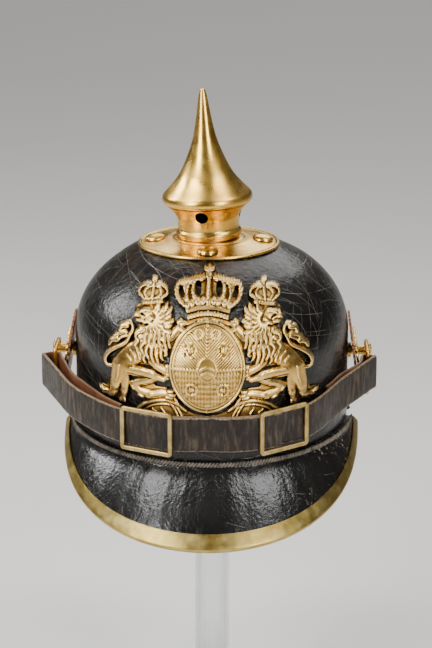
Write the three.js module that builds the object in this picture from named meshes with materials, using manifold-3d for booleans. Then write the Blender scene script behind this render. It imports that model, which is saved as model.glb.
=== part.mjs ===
// Spiked leather helmet with a brass front plate, on a clear round-footed display stand.
// Millimetres, +Z up, front towards -Y. The origin is the centre of the stand's underside.
import * as THREE from 'three';
import { mergeVertices } from 'three/addons/utils/BufferGeometryUtils.js';
import Module from 'manifold-3d';

const wasm = await Module();
wasm.setup();

// Clearance between two pieces that touch on the real helmet.
const fitGap = 0.3;

// Display stand: round foot, hollow post and the pad that carries the crown.
const footDiameter = 150;
const footThickness = 10;
const footSocketDepth = 6;
const postDiameter = 23;
const postBore = 16;
const padDiameter = 54;
const padThickness = 8;
const padSocketDepth = 4;
const rimHeight = 216;

// Leather skull: oval wall, then a domed crown that is flattened where the spike base sits.
const skullHalfWidth = 88;
const skullHalfLength = 106;
const skullWall = 3;
const wallHeight = 60;
const crownHeight = 63;
const widthPower = 2;
const seatRise = 2.8;
const seatPower = 4;
const seatOffset = 1.9;
const ventDiameter = 16;

// Spike: round base plate, waisted vented neck and flared pointed spike.
const spikeBaseRadius = 45;
const spikeSheet = 1;
const baseRimBead = 0.8;
const baseSegments = 32;
const spikeSegments = 20;
const collarHeight = 5.3;
const flangeWidth = 17.5;
const shoulderWidth = 5;
const shoulderDrop = 0.65;
const neckFootInset = 1.7;
const neckWaist = 1.3;
const neckTopRadius = 26.6;
const neckHeight = 20.9;
const neckVentDiameter = 7;
const neckVentShare = 0.76;
const neckVents = 4;
const ventTurn = -10;
const flareRadius = 28.8;
const spikeHeight = 73;
const spikeLean = 2.5;
const studCount = 4;
const studDiameter = 12;
const studHeight = 3.4;
const studInset = 10.6;
const studShank = 2.6;
const studLength = 11;
const studSlope = 0.11;

// Visors: leather sheets sewn round the rim, the front one edged with a brass channel.
const visorLeather = 2.5;
const visorFlange = 4.5;
const visorBow = 1.6;
const frontVisorReach = 34.2;
const frontVisorDrop = 38.3;
const frontVisorSideReach = 3.6;
const frontVisorSideDrop = 3.6;
const frontVisorSpread = 87;
const rearVisorReach = 30;
const rearVisorDrop = 36;
const rearVisorSideReach = 3;
const rearVisorSideDrop = 4;
const rearVisorSpread = 78;
const reachPower = 1.78;
const dropPower = 1.3;
const trimSheet = 0.8;
const trimFrontWidth = 10;
const trimSideWidth = 3.8;
const trimTuck = 3.4;
const trimGap = 0.5;
const spineWidth = 14;
const spineSheet = 1;
const spineRings = 5;

// Front plate: one stamped and pierced brass plate with two posts through the leather.
const plateHalfWidth = 68;
const plateFoot = 24;
const plateHeight = 90;
const plateSheet = 1.6;
const plateGap = 0.4;
const reliefHeight = 5.4;
const shieldHalfWidth = 23.2;
const shieldHalfHeight = 27;
const shieldLevel = 63.5;
const shieldRim = 2.2;
const platePostDiameter = 3;
const platePostSpread = 42;
const platePostLevel = 58;
const platePostLength = 9;
const nutDiameter = 9;
const nutThickness = 2.2;

// Cockades, lugs and rings at the sides.
const sideFittingLevel = 44;
const largeCockadeDiameter = 52;
const smallCockadeDiameter = 31;
const cockadeSheet = 1.2;
const cockadeTilt = 8;
const cockadeStandoff = 3;
const cockadeSpacer = 0.8;
const cockadeTooth = 1.1;
const lugDiameter = 6;
const lugHeadDiameter = 10;
const lugHeadThickness = 2;
const ringWire = 2.6;
const ringForward = 20;
const ringBack = 5.3;
const ringHeight = 27.6;
const ringStandoff = 12;

// Chin strap: two leather straps, looped round the rings, crossing behind two buckles.
const strapWidth = 21.5;
const strapLeather = 2.4;
const strapStandoff = 16.8;
const strapFrontLevel = 23.5;
const strapSideRise = 14.4;
const strapRisePower = 1.9;
const strapLevelAzimuth = 80;
const buckleLength = 34;
const buckleBar = 2.7;
const buckleThickness = 2.2;
const leftBuckleAzimuth = 21.6;
const rightBuckleAzimuth = 27.8;
const tightLoopRadius = 3.6;
const looseLoopRadius = 4.3;

const radians = THREE.MathUtils.degToRad;
const studCircleRadius = spikeBaseRadius - studInset;
const shoulderRadius = spikeBaseRadius - flangeWidth;
const collarRadius = shoulderRadius - shoulderWidth;
const neckFootRadius = collarRadius - neckFootInset;
const neckWaistRadius = neckFootRadius - neckWaist;

// Materials, one for each finish.
const finish = (color, roughness, metalness) => ({ color, roughness, metalness });
const finishes = {
  clearAcrylic: { ...finish(0xdfe6e6, 0.08, 0), transparent: true, opacity: 0.35 },
  blackLeather: finish(0x262320, 0.42, 0),
  visorLeather: finish(0x1d1b1a, 0.25, 0),
  spikeBrass: finish(0xe0b765, 0.3, 1),
  plateBrass: finish(0xd9b56a, 0.35, 1),
  trimBrass: finish(0xb09a4a, 0.38, 1),
  copperBrass: finish(0xb98460, 0.45, 1),
  strapLeather: finish(0x4a4038, 0.7, 0),
};

// A mesh's volume with its sign: negative when the faces point inwards.
function signedVolume(points, faces) {
  let volume = 0;
  for (const [a, b, c] of faces) {
    volume += points[a].dot(new THREE.Vector3().crossVectors(points[b], points[c])) / 6;
  }
  return volume;
}

// One closed geometry from points and triangles, doubles merged and faces turned outwards.
function closedGeometry(points, triangles) {
  const raw = new THREE.BufferGeometry();
  raw.setAttribute('position', new THREE.Float32BufferAttribute(points.flatMap((p) => [p.x, p.y, p.z]), 3));
  raw.setIndex(triangles.flat());
  return cleanGeometry(raw);
}

function cleanGeometry(geometry) {
  const source = geometry.clone();
  for (const name of Object.keys(source.attributes)) {
    if (name !== 'position') source.deleteAttribute(name);
  }
  const merged = mergeVertices(source, 1e-3);
  const place = merged.getAttribute('position');
  const points = [];
  for (let i = 0; i < place.count; i += 1) points.push(new THREE.Vector3().fromBufferAttribute(place, i));
  const index = Array.from(merged.index.array);
  let faces = [];
  for (let i = 0; i < index.length; i += 3) {
    const [a, b, c] = index.slice(i, i + 3);
    if (a !== b && b !== c && c !== a) faces.push([a, b, c]);
  }
  if (signedVolume(points, faces) < 0) faces = faces.map(([a, b, c]) => [a, c, b]);
  merged.setIndex(faces.flat());
  return merged;
}

// Skin over rings of points: round each ring, and on from the last ring to the first.
function ringSkin(rings) {
  const around = rings[0].length;
  const triangles = [];
  rings.forEach((ring, i) => {
    const next = (i + 1) % rings.length;
    for (let j = 0; j < around; j += 1) {
      const k = (j + 1) % around;
      const [a, b, c, d] = [i * around + j, i * around + k, next * around + k, next * around + j];
      triangles.push([a, b, c], [a, c, d]);
    }
  });
  return closedGeometry(rings.flat(), triangles);
}

// Closed sheet between an outer and an inner grid of points (rows along, columns across).
function sheet(outer, inner) {
  const rings = outer.map((row, i) => [...row, ...[...inner[i]].reverse()]);
  const around = rings[0].length;
  const columns = outer[0].length;
  const triangles = [];
  for (let i = 0; i + 1 < rings.length; i += 1) {
    for (let j = 0; j < around; j += 1) {
      const k = (j + 1) % around;
      const [a, b, c, d] = [i * around + j, i * around + k, (i + 1) * around + k, (i + 1) * around + j];
      triangles.push([a, b, c], [a, c, d]);
    }
  }
  const last = (rings.length - 1) * around;
  for (let j = 0; j + 1 < columns; j += 1) {
    const [a, b, c, d] = [j, j + 1, around - 2 - j, around - 1 - j];
    triangles.push([a, c, b], [a, d, c]);
    triangles.push([last + a, last + b, last + c], [last + a, last + c, last + d]);
  }
  return closedGeometry(rings.flat(), triangles);
}

// Solid turned round the Z axis from a closed profile of [radius, height].
function turned(profile, segments) {
  const outline = [...profile, profile[0]].map(([radius, height]) => new THREE.Vector2(radius, height));
  return cleanGeometry(new THREE.LatheGeometry(outline, segments).rotateX(Math.PI / 2));
}

// Round bar between two points, for pins and for the holes that take them.
function roundBar(start, end, diameter, segments = 12) {
  const axis = new THREE.Vector3().subVectors(end, start);
  const bar = new THREE.CylinderGeometry(diameter / 2, diameter / 2, axis.length(), segments);
  bar.applyQuaternion(new THREE.Quaternion().setFromUnitVectors(new THREE.Vector3(0, 1, 0), axis.normalize()));
  bar.translate(...new THREE.Vector3().addVectors(start, end).multiplyScalar(0.5).toArray());
  return cleanGeometry(bar);
}

// Flat outline in X and Z, carried along -Y from depth near to depth far.
function prism(points, near, far, holes = []) {
  const shape = new THREE.Shape(points.map(([x, z]) => new THREE.Vector2(x, z)));
  shape.holes = holes.map((hole) => new THREE.Path(hole.map(([x, z]) => new THREE.Vector2(x, z))));
  const solid = new THREE.ExtrudeGeometry(shape, { depth: far - near, bevelEnabled: false, curveSegments: 8 });
  return cleanGeometry(solid.rotateX(Math.PI / 2).translate(0, -near, 0));
}

const toSolid = (geometry) => new wasm.Manifold(new wasm.Mesh({
  numProp: 3,
  vertProperties: new Float32Array(geometry.getAttribute('position').array),
  triVerts: new Uint32Array(geometry.index.array),
}));

function toGeometry(solid) {
  const mesh = solid.getMesh();
  const geometry = new THREE.BufferGeometry();
  geometry.setAttribute('position', new THREE.BufferAttribute(new Float32Array(mesh.vertProperties), 3));
  geometry.setIndex(Array.from(mesh.triVerts));
  return cleanGeometry(geometry);
}

const joined = (...geometries) => toGeometry(geometries.map(toSolid).reduce((all, one) => all.add(one)));
const cutBy = (geometry, cutters) => toGeometry(
  cutters.map(toSolid).reduce((rest, cutter) => rest.subtract(cutter), toSolid(geometry)),
);

// Power of the rounded outline that passes through a level (0 to 1) at a share of the half axis.
function powerThrough(level, share) {
  let [low, high] = [0.5, 8];
  for (let i = 0; i < 40; i += 1) {
    const middle = (low + high) / 2;
    if ((1 - level ** middle) ** (1 / middle) < share) low = middle;
    else high = middle;
  }
  return low;
}

// Level of the crown where its half width is the spike base's radius, and its half length too.
const seatLevel = (1 - (spikeBaseRadius / skullHalfWidth) ** widthPower) ** (1 / widthPower);
const seatHeight = wallHeight + crownHeight * seatLevel;
const lengthPower = powerThrough(seatLevel, spikeBaseRadius / skullHalfLength);

// Skull form. Height is measured from the rim, azimuth in degrees from the front towards +X.
function halfAxes(height, offset = 0) {
  const level = Math.max(0, (height - wallHeight) / (crownHeight + offset));
  const share = (power) => Math.max(0, 1 - level ** power) ** (1 / power);
  return [(skullHalfWidth + offset) * share(widthPower), (skullHalfLength + offset) * share(lengthPower)];
}

// The upper crown leans a little to -X, to meet the spike base where it sits.
function crownShift(height) {
  const start = 0.68;
  const level = (height - wallHeight) / crownHeight;
  return -seatOffset * THREE.MathUtils.smoothstep(level, start, seatLevel);
}

function skullPoint(azimuth, height, offset = 0) {
  const [halfWidth, halfLength] = halfAxes(height, offset);
  const angle = radians(azimuth);
  return new THREE.Vector3(
    halfWidth * Math.sin(angle) + crownShift(height),
    -halfLength * Math.cos(angle),
    height,
  );
}

// Plan direction that points straight out of the skull's wall.
function outwards(azimuth) {
  const angle = radians(azimuth);
  return new THREE.Vector3(Math.sin(angle) / skullHalfWidth, -Math.cos(angle) / skullHalfLength, 0).normalize();
}

const skullSegments = 40;
const skullStep = 360 / skullSegments;
const skullAzimuths = Array.from({ length: skullSegments }, (_, i) => i * skullStep);

// Heights of the skull's rings above the widest level, up to the seat's edge.
const capSteps = 6;
const capHeights = Array.from({ length: capSteps }, (_, i) => (
  wallHeight + crownHeight * Math.sin((Math.asin(seatLevel) * (i + 1)) / capSteps)
));

// Rings of one skull face from the rim to the vent; inset is the depth inside the outer face.
function skullRings(inset) {
  const rings = [0, wallHeight, ...capHeights].map((height) => {
    const raised = Math.max(0, height - wallHeight) * (1 - inset / crownHeight);
    const level = Math.min(height, wallHeight) + raised;
    return skullAzimuths.map((azimuth) => skullPoint(azimuth, level, -inset));
  });
  const edge = rings[rings.length - 1];
  const centre = new THREE.Vector3(-seatOffset, 0, 0);
  const ventShare = ventDiameter / 2 / spikeBaseRadius;
  for (const share of [0.7, ventShare]) {
    rings.push(edge.map((point) => {
      const inner = new THREE.Vector3().subVectors(point, centre).multiplyScalar(share).add(centre);
      inner.z = point.z + seatRise * (1 - share ** seatPower);
      return inner;
    }));
  }
  return rings;
}

// Underside height of a plate that lies on the flattened crown, above the seat's edge.
const seatProfile = (radius) => fitGap + seatRise * (1 - (radius / spikeBaseRadius) ** seatPower);

// The studs' frames on the spike base, tipped to its slope.
const studSeatHeight = seatProfile(studCircleRadius) + spikeSheet + fitGap;
const studFrames = Array.from({ length: studCount }, (_, i) => {
  const frame = new THREE.Object3D();
  const turn = (i * 2 * Math.PI) / studCount;
  frame.rotation.set(0, studSlope, turn, 'ZYX');
  frame.position.set(
    studCircleRadius * Math.cos(turn) - seatOffset,
    studCircleRadius * Math.sin(turn),
    seatHeight + studSeatHeight,
  );
  frame.updateMatrix();
  return frame.matrix;
});
const studHoles = studFrames.map((matrix) => roundBar(
  new THREE.Vector3(0, 0, studHeight),
  new THREE.Vector3(0, 0, -studLength - 1),
  studShank + 2 * fitGap,
  8,
).applyMatrix4(matrix));

// Places of the front plate's two posts, level with the shield's middle.
const platePostPlaces = [-1, 1].map((side) => {
  const [halfWidth, halfLength] = halfAxes(platePostLevel);
  const x = (side * platePostSpread) / 2;
  return new THREE.Vector3(x, -halfLength * Math.sqrt(1 - (x / halfWidth) ** 2), platePostLevel);
});
const inwardY = (place, depth) => new THREE.Vector3(place.x, place.y + depth, place.z);
const platePostHoles = platePostPlaces.map((place) => roundBar(
  inwardY(place, -skullWall),
  inwardY(place, 3 * skullWall),
  platePostDiameter + 2 * fitGap,
  8,
));

const lugHoles = [-1, 1].map((side) => roundBar(
  new THREE.Vector3(side * (skullHalfWidth - 3 * skullWall), 0, sideFittingLevel),
  new THREE.Vector3(side * (skullHalfWidth + skullWall), 0, sideFittingLevel),
  lugDiameter + 2 * fitGap,
));

function skull() {
  const outer = skullRings(0);
  const inner = skullRings(skullWall).reverse();
  return cutBy(ringSkin([...outer, ...inner]), [...studHoles, ...platePostHoles, ...lugHoles]);
}

// Visors. A visor's mid-face runs from the flange on the skull down the slope to its edge.
const frontVisor = {
  centre: 0, spread: frontVisorSpread, reach: frontVisorReach, drop: frontVisorDrop,
  sideReach: frontVisorSideReach, sideDrop: frontVisorSideDrop, steps: 26,
};
const rearVisor = {
  centre: 180, spread: rearVisorSpread, reach: rearVisorReach, drop: rearVisorDrop,
  sideReach: rearVisorSideReach, sideDrop: rearVisorSideDrop, steps: 18,
};

function visorSize(visor, azimuth) {
  const share = Math.max(0, Math.cos(radians(((azimuth - visor.centre) / visor.spread) * 90)));
  return {
    reach: visor.sideReach + (visor.reach - visor.sideReach) * share ** reachPower,
    drop: visor.sideDrop + (visor.drop - visor.sideDrop) * share ** dropPower,
    share,
  };
}

// Point on a visor's mid-face, with the directions along its slope and out of its top face.
function visorPoint(visor, azimuth, along) {
  const { reach, drop } = visorSize(visor, azimuth);
  const out = outwards(azimuth);
  const length = Math.hypot(reach, drop);
  const slope = out.clone().multiplyScalar(reach / length);
  slope.z = -drop / length;
  const normal = out.clone().multiplyScalar(drop / length);
  normal.z = reach / length;
  const start = skullPoint(azimuth, 0).addScaledVector(out, fitGap + visorLeather / 2);
  start.addScaledVector(slope, along * length);
  const bow = (visorBow * length) / Math.hypot(visor.reach, visor.drop);
  start.addScaledVector(normal, bow * 4 * along * (1 - along));
  return { point: start, slope, normal, out, length };
}

const visorAzimuths = (visor) => Array.from(
  { length: visor.steps + 1 },
  (_, i) => visor.centre - visor.spread + (2 * visor.spread * i) / visor.steps,
);

function visorSheet(visor) {
  const stations = [0.12, 0.45, 0.75, 1];
  const half = visorLeather / 2;
  const faces = [half, -half].map((side) => visorAzimuths(visor).map((azimuth) => {
    const { out } = visorPoint(visor, azimuth, 0);
    const flange = skullPoint(azimuth, visorFlange).addScaledVector(out, fitGap + half + side);
    const foot = skullPoint(azimuth, 0).addScaledVector(out, fitGap + half + side);
    foot.z += side * 0.6;
    const slope = stations.map((along) => {
      const { point, normal } = visorPoint(visor, azimuth, along);
      return point.addScaledVector(normal, side);
    });
    return [flange, foot, ...slope];
  }));
  return sheet(...faces);
}

// Brass channel folded over the front visor's edge.
function visorTrim() {
  const inside = visorLeather / 2 + trimGap;
  const rows = [0, trimSheet].map((grow) => visorAzimuths(frontVisor).map((azimuth) => {
    const { share } = visorSize(frontVisor, azimuth);
    const width = trimSideWidth + (trimFrontWidth - trimSideWidth) * share;
    const place = (back, side) => {
      const { length } = visorPoint(frontVisor, azimuth, 1);
      const { point, normal, slope } = visorPoint(frontVisor, azimuth, Math.max(0, 1 - back / length));
      const reach = back > 0 ? 0 : fitGap + grow;
      return point.addScaledVector(normal, side * (inside + grow)).addScaledVector(slope, reach);
    };
    return [place(width, 1), place(0, 1), place(0, -1), place(trimTuck, -1)];
  }));
  return sheet(rows[1], rows[0]);
}

// Brass strip down the back, over the rear visor's flange and along its middle.
function rearSpine() {
  const columns = [-1, 0, 1];
  const overFlange = fitGap + visorLeather;
  const domeStops = capHeights.slice(0, spineRings).reverse().map((height) => [height, 0]);
  const stops = [...domeStops, [wallHeight, 0], [visorFlange + 6, 0], [visorFlange + 1, overFlange],
    [1, overFlange]];
  const rows = [fitGap + spineSheet, fitGap].map((offset) => {
    const onSkull = stops.map(([height, lift]) => columns.map((column) => {
      const [halfWidth] = halfAxes(height);
      const turn = THREE.MathUtils.radToDeg(Math.asin((column * spineWidth) / 2 / halfWidth));
      return skullPoint(180 - turn, height, offset + lift);
    }));
    const onVisor = [0.2, 0.55, 0.97].map((along) => columns.map((column) => {
      const turn = THREE.MathUtils.radToDeg(Math.asin((column * spineWidth) / 2 / skullHalfWidth));
      const { point, normal } = visorPoint(rearVisor, 180 - turn, along);
      return point.addScaledVector(normal, visorLeather / 2 + offset);
    }));
    return [...onSkull, ...onVisor];
  });
  return sheet(...rows);
}

// Spike base plate: rolled rim, hollow curve up to a round shoulder, and the neck's collar.
function spikeBase() {
  const top = (radius) => seatProfile(radius) + spikeSheet;
  const bore = collarRadius - 6;
  const profile = [
    ...[spikeBaseRadius, studCircleRadius, bore].map((radius) => [radius, seatProfile(radius)]),
    [bore, collarHeight],
    [collarRadius, collarHeight],
    [collarRadius + 0.6, collarHeight - shoulderDrop],
    [shoulderRadius - 2, collarHeight - shoulderDrop],
    [shoulderRadius, collarHeight - 2 * shoulderDrop],
    [shoulderRadius + 1.2, top(shoulderRadius + 1.2)],
    [studCircleRadius, top(studCircleRadius)],
    [spikeBaseRadius - 2.5 * baseRimBead, top(spikeBaseRadius - 2.5 * baseRimBead)],
    [spikeBaseRadius - baseRimBead / 2, fitGap + 2 * baseRimBead],
    [spikeBaseRadius + baseRimBead / 2, fitGap + baseRimBead],
  ];
  const plate = turned(profile, baseSegments).translate(-seatOffset, 0, seatHeight);
  return cutBy(plate, studHoles);
}

// Domed stud with its shank; its flat underside is at height 0.
function stud() {
  const radius = studDiameter / 2;
  const dome = [1, 0.93, 0.75, 0.42].map((share, i) => [radius * share, studHeight * [0.12, 0.5, 0.8, 0.97][i]]);
  const profile = [[0, -studLength], [studShank / 2, -studLength], [studShank / 2, 0], [radius, 0], ...dome,
    [0, studHeight]];
  return turned(profile, 12);
}

// Neck outline as shares of its height, with the radius between waist and top by a power.
const neckRows = [
  // [share of height, radius]
  [0, neckFootRadius - 0.8],
  [0.07, neckFootRadius],
  [0.15, neckFootRadius],
  [0.21, neckWaistRadius + 0.3],
  [0.3, neckWaistRadius],
];
const neckCurve = [0.5, 0.66, 0.8, 0.91, 1];
const neckBend = 2.3;

function neckRadius(share) {
  const rise = Math.max(0, (share - 0.3) / 0.7);
  return neckWaistRadius + (neckTopRadius - neckWaistRadius) * rise ** neckBend;
}

function spikeNeck() {
  const outer = [...neckRows, ...neckCurve.map((share) => [share, neckRadius(share)])]
    .map(([share, radius]) => [radius, share * neckHeight]);
  const inner = [[1, neckTopRadius], [0.8, neckRadius(0.8)], [0.5, neckRadius(0.5)], [0, neckWaistRadius]]
    .map(([share, radius]) => [radius - 1.3 * spikeSheet, share * neckHeight]);
  const neck = turned([...outer, ...inner], spikeSegments);
  const height = neckVentShare * neckHeight;
  const vents = Array.from({ length: neckVents }, (_, i) => {
    const turn = radians(ventTurn - 90 + (i * 360) / neckVents);
    const reach = neckTopRadius + 5;
    return roundBar(
      new THREE.Vector3(8 * Math.cos(turn), 8 * Math.sin(turn), height),
      new THREE.Vector3(reach * Math.cos(turn), reach * Math.sin(turn), height),
      neckVentDiameter,
      10,
    );
  });
  return cutBy(neck, vents);
}

// Spike outline: rows of [share of height, share of the flare's radius].
const spikeRows = [
  [0, 0.94], [0.03, 0.995], [0.07, 0.995], [0.1, 0.93], [0.15, 0.78], [0.2, 0.67], [0.28, 0.53],
  [0.4, 0.385], [0.52, 0.275], [0.68, 0.19], [0.88, 0.105], [0.985, 0.055],
];

function spikeTip() {
  const outer = spikeRows.map(([along, out]) => [flareRadius * out, spikeHeight * along]);
  const inner = [[0.42, 0], [0.33, 0.36], [0.19, 0.58], [0.1, 0.83], [0, 0.86]]
    .map(([along, out]) => [flareRadius * out, spikeHeight * along]);
  return turned([...outer, [0, spikeHeight], ...inner], spikeSegments);
}

// Front plate outlines: points in hundredths of the plate's half width and of its height.
// The lion faces -X; its mirror image stands on the other side of the shield.
const lionBody = [
  [-51, 88], [-52, 91], [-49, 92.5], [-46, 91], [-46, 89], [-39, 90], [-36, 88], [-37, 85], [-41, 82], [-37, 81],
  [-37, 79], [-33, 78], [-33, 75], [-30, 73.5], [-33, 72], [-30, 69], [-30, 66], [-31, 62], [-33, 56], [-37, 53],
  [-40, 48], [-41, 45], [-49, 43], [-55, 44], [-67, 42.5], [-71, 40], [-71, 25], [-73, 20], [-74, 15], [-79, 14],
  [-82, 16], [-88, 16], [-96, 17], [-99, 19], [-98, 22], [-91, 21.5], [-90, 26], [-88, 32], [-86, 37], [-81, 44],
  [-73, 48], [-69, 53], [-66, 59], [-66, 63], [-63, 65], [-56, 66], [-54, 67], [-57, 68], [-62, 67.5], [-64, 70],
  [-67, 74], [-64, 77], [-58, 80], [-62, 83], [-63, 86], [-59, 88],
];
const lionTail = [[-85, 38], [-91, 37.5], [-93, 41], [-90, 46], [-82, 51], [-74, 55], [-70, 60], [-67.5, 64],
  [-69, 67], [-73, 67]];
const tailWidth = 1.9;
const tailTuft = [[-72, 68], [-77, 66.5], [-80, 63], [-82, 60], [-86, 58.5], [-90, 55], [-91, 51], [-87, 50],
  [-83, 53], [-80.5, 57], [-75, 59.5], [-73, 63]];
const raisedLeg = [[-73, 40], [-66, 41], [-51, 41], [-44, 39], [-41, 36], [-37, 36.5], [-38, 34], [-45, 33.5],
  [-48, 32], [-46, 29.5], [-37, 30], [-31, 28], [-27, 24], [-34, 22.5], [-48, 21], [-57, 20], [-65, 22],
  [-69, 25], [-69, 29], [-64, 31], [-60, 33.5], [-68, 34.5], [-72, 35]];
const upperPaw = [[-33, 69], [-28, 70.5], [-26, 73.5], [-22, 73.5], [-17, 71], [-20, 64], [-29, 56], [-35, 56]];
const lowerPaw = [[-47, 45], [-40, 46], [-34, 47], [-29, 45], [-30, 40], [-33, 36], [-38.5, 35], [-40, 40],
  [-46, 41.5]];
const banner = [[-63, 12], [-57, 17], [-47, 20.5], [-36, 22], [-26, 19.5], [-19, 15.5], [-17, 10], [-17, 3],
  [-34, 0], [-50, 4], [-58, 8]];
const bannerArms = [[-38, 21.5], [-34, 23], [-30, 25.5], [-26, 22], [-24, 18], [-30, 18]];
const crownHalf = [[0, 99.5], [5.5, 99], [6.5, 97], [5, 95.5], [7, 94.5], [11, 94.5], [15, 93.5], [19, 93.5],
  [23, 92], [26.5, 92], [29.5, 90], [30.5, 87.5], [28.5, 84], [26, 81], [21, 79], [18.5, 75], [18, 70]];
const crownOpenings = [
  // [across, up, half width, half height, slant]
  [9.3, 88.6, 2.3, 3.3, 0.1], [24, 86.6, 1.3, 2.8, 0.45],
];

// The relief is cut with facets twice as wide; their middles lie this much nearer the skull.
const facetSag = 0.6;
const reliefRoot = plateGap + plateSheet - 0.1;

// Raised parts of the relief: the share of the full relief height, then the outline.
const lionRelief = [
  { share: 1, points: [[-64, 73], [-60, 78], [-50, 80.5], [-40, 78.5], [-35, 74], [-33, 68], [-46, 64.5],
    [-53, 69.5], [-61, 69.5]] },
  { share: 0.89, points: [[-63, 61], [-50, 63], [-35, 61], [-40, 52], [-46, 46], [-60, 45.5], [-70, 46],
    [-66, 53]] },
  { share: 0.81, points: [[-82, 41], [-76, 44], [-73, 41], [-74, 34], [-73.5, 26], [-77, 20], [-84, 19.5],
    [-87, 25], [-85, 33]] },
  { share: 0.72, points: [[-69, 38.5], [-52, 39.3], [-45, 37], [-50, 34.8], [-58, 36.5], [-68, 36.5]] },
  { share: 0.72, points: [[-66, 27], [-62, 29.5], [-52, 30], [-47, 27], [-36, 26.5], [-46, 23.5], [-58, 22.5]] },
  { share: 0.72, points: [[-60, 85], [-54, 87], [-44, 87], [-39, 86], [-44, 82.5], [-56, 82.5]] },
  { share: 0.85, points: [[-29, 69], [-24, 72], [-20, 70], [-25, 64], [-31, 60]] },
];
const crownBand = [[-17, 71], [-17.5, 75], [-18.5, 78], [0, 80], [18.5, 78], [17.5, 75], [17, 71], [0, 73.5]];
const crownArches = [[-4, 78.5], [-4, 97], [4, 97], [4, 78.5]];
const sideArch = [[12, 77.5], [14, 85], [16.5, 91], [20, 91], [19.5, 85], [18, 77]];
const bannerRelief = [[-58, 12], [-47, 18.5], [-36, 20], [-27, 17.5], [-22, 14], [-24, 8], [-36, 7], [-50, 9]];

const plateBack = skullHalfLength / 5;
const plateFront = skullHalfLength + 2.5 * reliefHeight;
const onPlate = ([across, up]) => [
  (across / 100) * plateHalfWidth,
  plateFoot + (up / 100) * plateHeight,
];
const mirrored = (points) => points.map(([x, z]) => [-x, z]).reverse();
const plateOutline = (points) => prism(points.map(onPlate), plateBack, plateFront);
const bothSides = (points) => [plateOutline(points), plateOutline(mirrored(points))];

function ovalPoints(halfWidth, halfHeight, count = 24) {
  return Array.from({ length: count }, (_, i) => {
    const turn = (i * 2 * Math.PI) / count;
    return [halfWidth * Math.cos(turn), shieldLevel + halfHeight * Math.sin(turn)];
  });
}

// Outline of an even strip that follows a line of points.
function stripOutline(points, halfWidth) {
  const sides = points.map((point, i) => {
    const before = points[Math.max(0, i - 1)];
    const after = points[Math.min(points.length - 1, i + 1)];
    const [dx, dz] = [after[0] - before[0], after[1] - before[1]];
    const length = Math.hypot(dx, dz);
    return [[-dz / length, dx / length], point];
  });
  const side = (sign) => sides.map(([[nx, nz], [x, z]]) => [x + sign * nx * halfWidth, z + sign * nz * halfWidth]);
  return [...side(1), ...side(-1).reverse()];
}

// The layer of space that lies between two offsets from the skull's front, in its own facets or wider.
function frontLayer(inner, outer, stride = 1) {
  const columns = 8 / stride;
  const azimuths = Array.from({ length: 2 * columns + 1 }, (_, i) => (i - columns) * stride * skullStep);
  const heights = [plateFoot / 2, wallHeight, ...capHeights];
  const face = (offset) => heights.map((height) => azimuths.map((azimuth) => skullPoint(azimuth, height, offset)));
  return toSolid(sheet(face(outer), face(inner)));
}

function openingPoints([across, up, halfWidth, halfHeight, slant]) {
  const count = 8;
  return Array.from({ length: count }, (_, i) => {
    const turn = (i * 2 * Math.PI) / count;
    const rise = halfHeight * Math.sin(turn);
    return [across + halfWidth * Math.cos(turn) + slant * rise, up + rise];
  });
}

function frontPlate() {
  const shieldField = ovalPoints(shieldHalfWidth, shieldHalfHeight);
  const shield = toSolid(prism(shieldField, plateBack, plateFront));
  const shieldInner = ovalPoints(shieldHalfWidth - shieldRim, shieldHalfHeight - shieldRim);
  const crown = [...crownHalf, ...mirrored(crownHalf).slice(0, -1)];
  const tail = stripOutline(lionTail.map(onPlate), tailWidth / 2);
  const flat = [
    ...bothSides(lionBody),
    prism(tail, plateBack, plateFront),
    prism(mirrored(tail), plateBack, plateFront),
    ...[tailTuft, raisedLeg, upperPaw, lowerPaw, banner, bannerArms].flatMap(bothSides),
    plateOutline(crown),
    prism(shieldField, plateBack, plateFront),
  ].map(toSolid).reduce((all, one) => all.add(one));
  const openings = crownOpenings.map(openingPoints).flatMap(bothSides).map(toSolid)
    .reduce((all, one) => all.add(one));
  let plate = flat.subtract(openings).intersect(frontLayer(plateGap, plateGap + plateSheet));
  const raise = (solid, share) => {
    plate = plate.add(solid.intersect(frontLayer(reliefRoot, share * reliefHeight + facetSag, 2)));
  };
  for (const { share, points } of lionRelief) {
    bothSides(points).forEach((one) => raise(toSolid(one), share));
  }
  raise(shield, 0.59);
  raise(shield.subtract(toSolid(prism(shieldInner, 0, plateFront + plateBack))), 0.81);
  raise(toSolid(plateOutline(crownBand)), 0.78);
  raise(toSolid(plateOutline(crownArches)), 0.74);
  bothSides(sideArch).forEach((one) => raise(toSolid(one), 0.63));
  bothSides(bannerRelief).forEach((one) => raise(toSolid(one), 0.52));
  for (const place of platePostPlaces) {
    const post = roundBar(inwardY(place, -plateSheet), inwardY(place, platePostLength), platePostDiameter, 8);
    plate = plate.add(toSolid(post));
  }
  return toGeometry(plate);
}

// Nut on the inner end of a plate post.
function plateNut(place) {
  const reach = Math.abs(place.x) + nutDiameter / 2;
  const insideHalfLength = skullHalfLength - skullWall;
  const wallY = -insideHalfLength * Math.sqrt(1 - (reach / (skullHalfWidth - skullWall)) ** 2);
  const start = wallY - place.y + fitGap;
  const nut = roundBar(inwardY(place, start), inwardY(place, start + nutThickness), nutDiameter, 8);
  const bore = roundBar(inwardY(place, 0), inwardY(place, 20), platePostDiameter + 2 * fitGap, 10);
  return cutBy(nut, [bore]);
}

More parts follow.
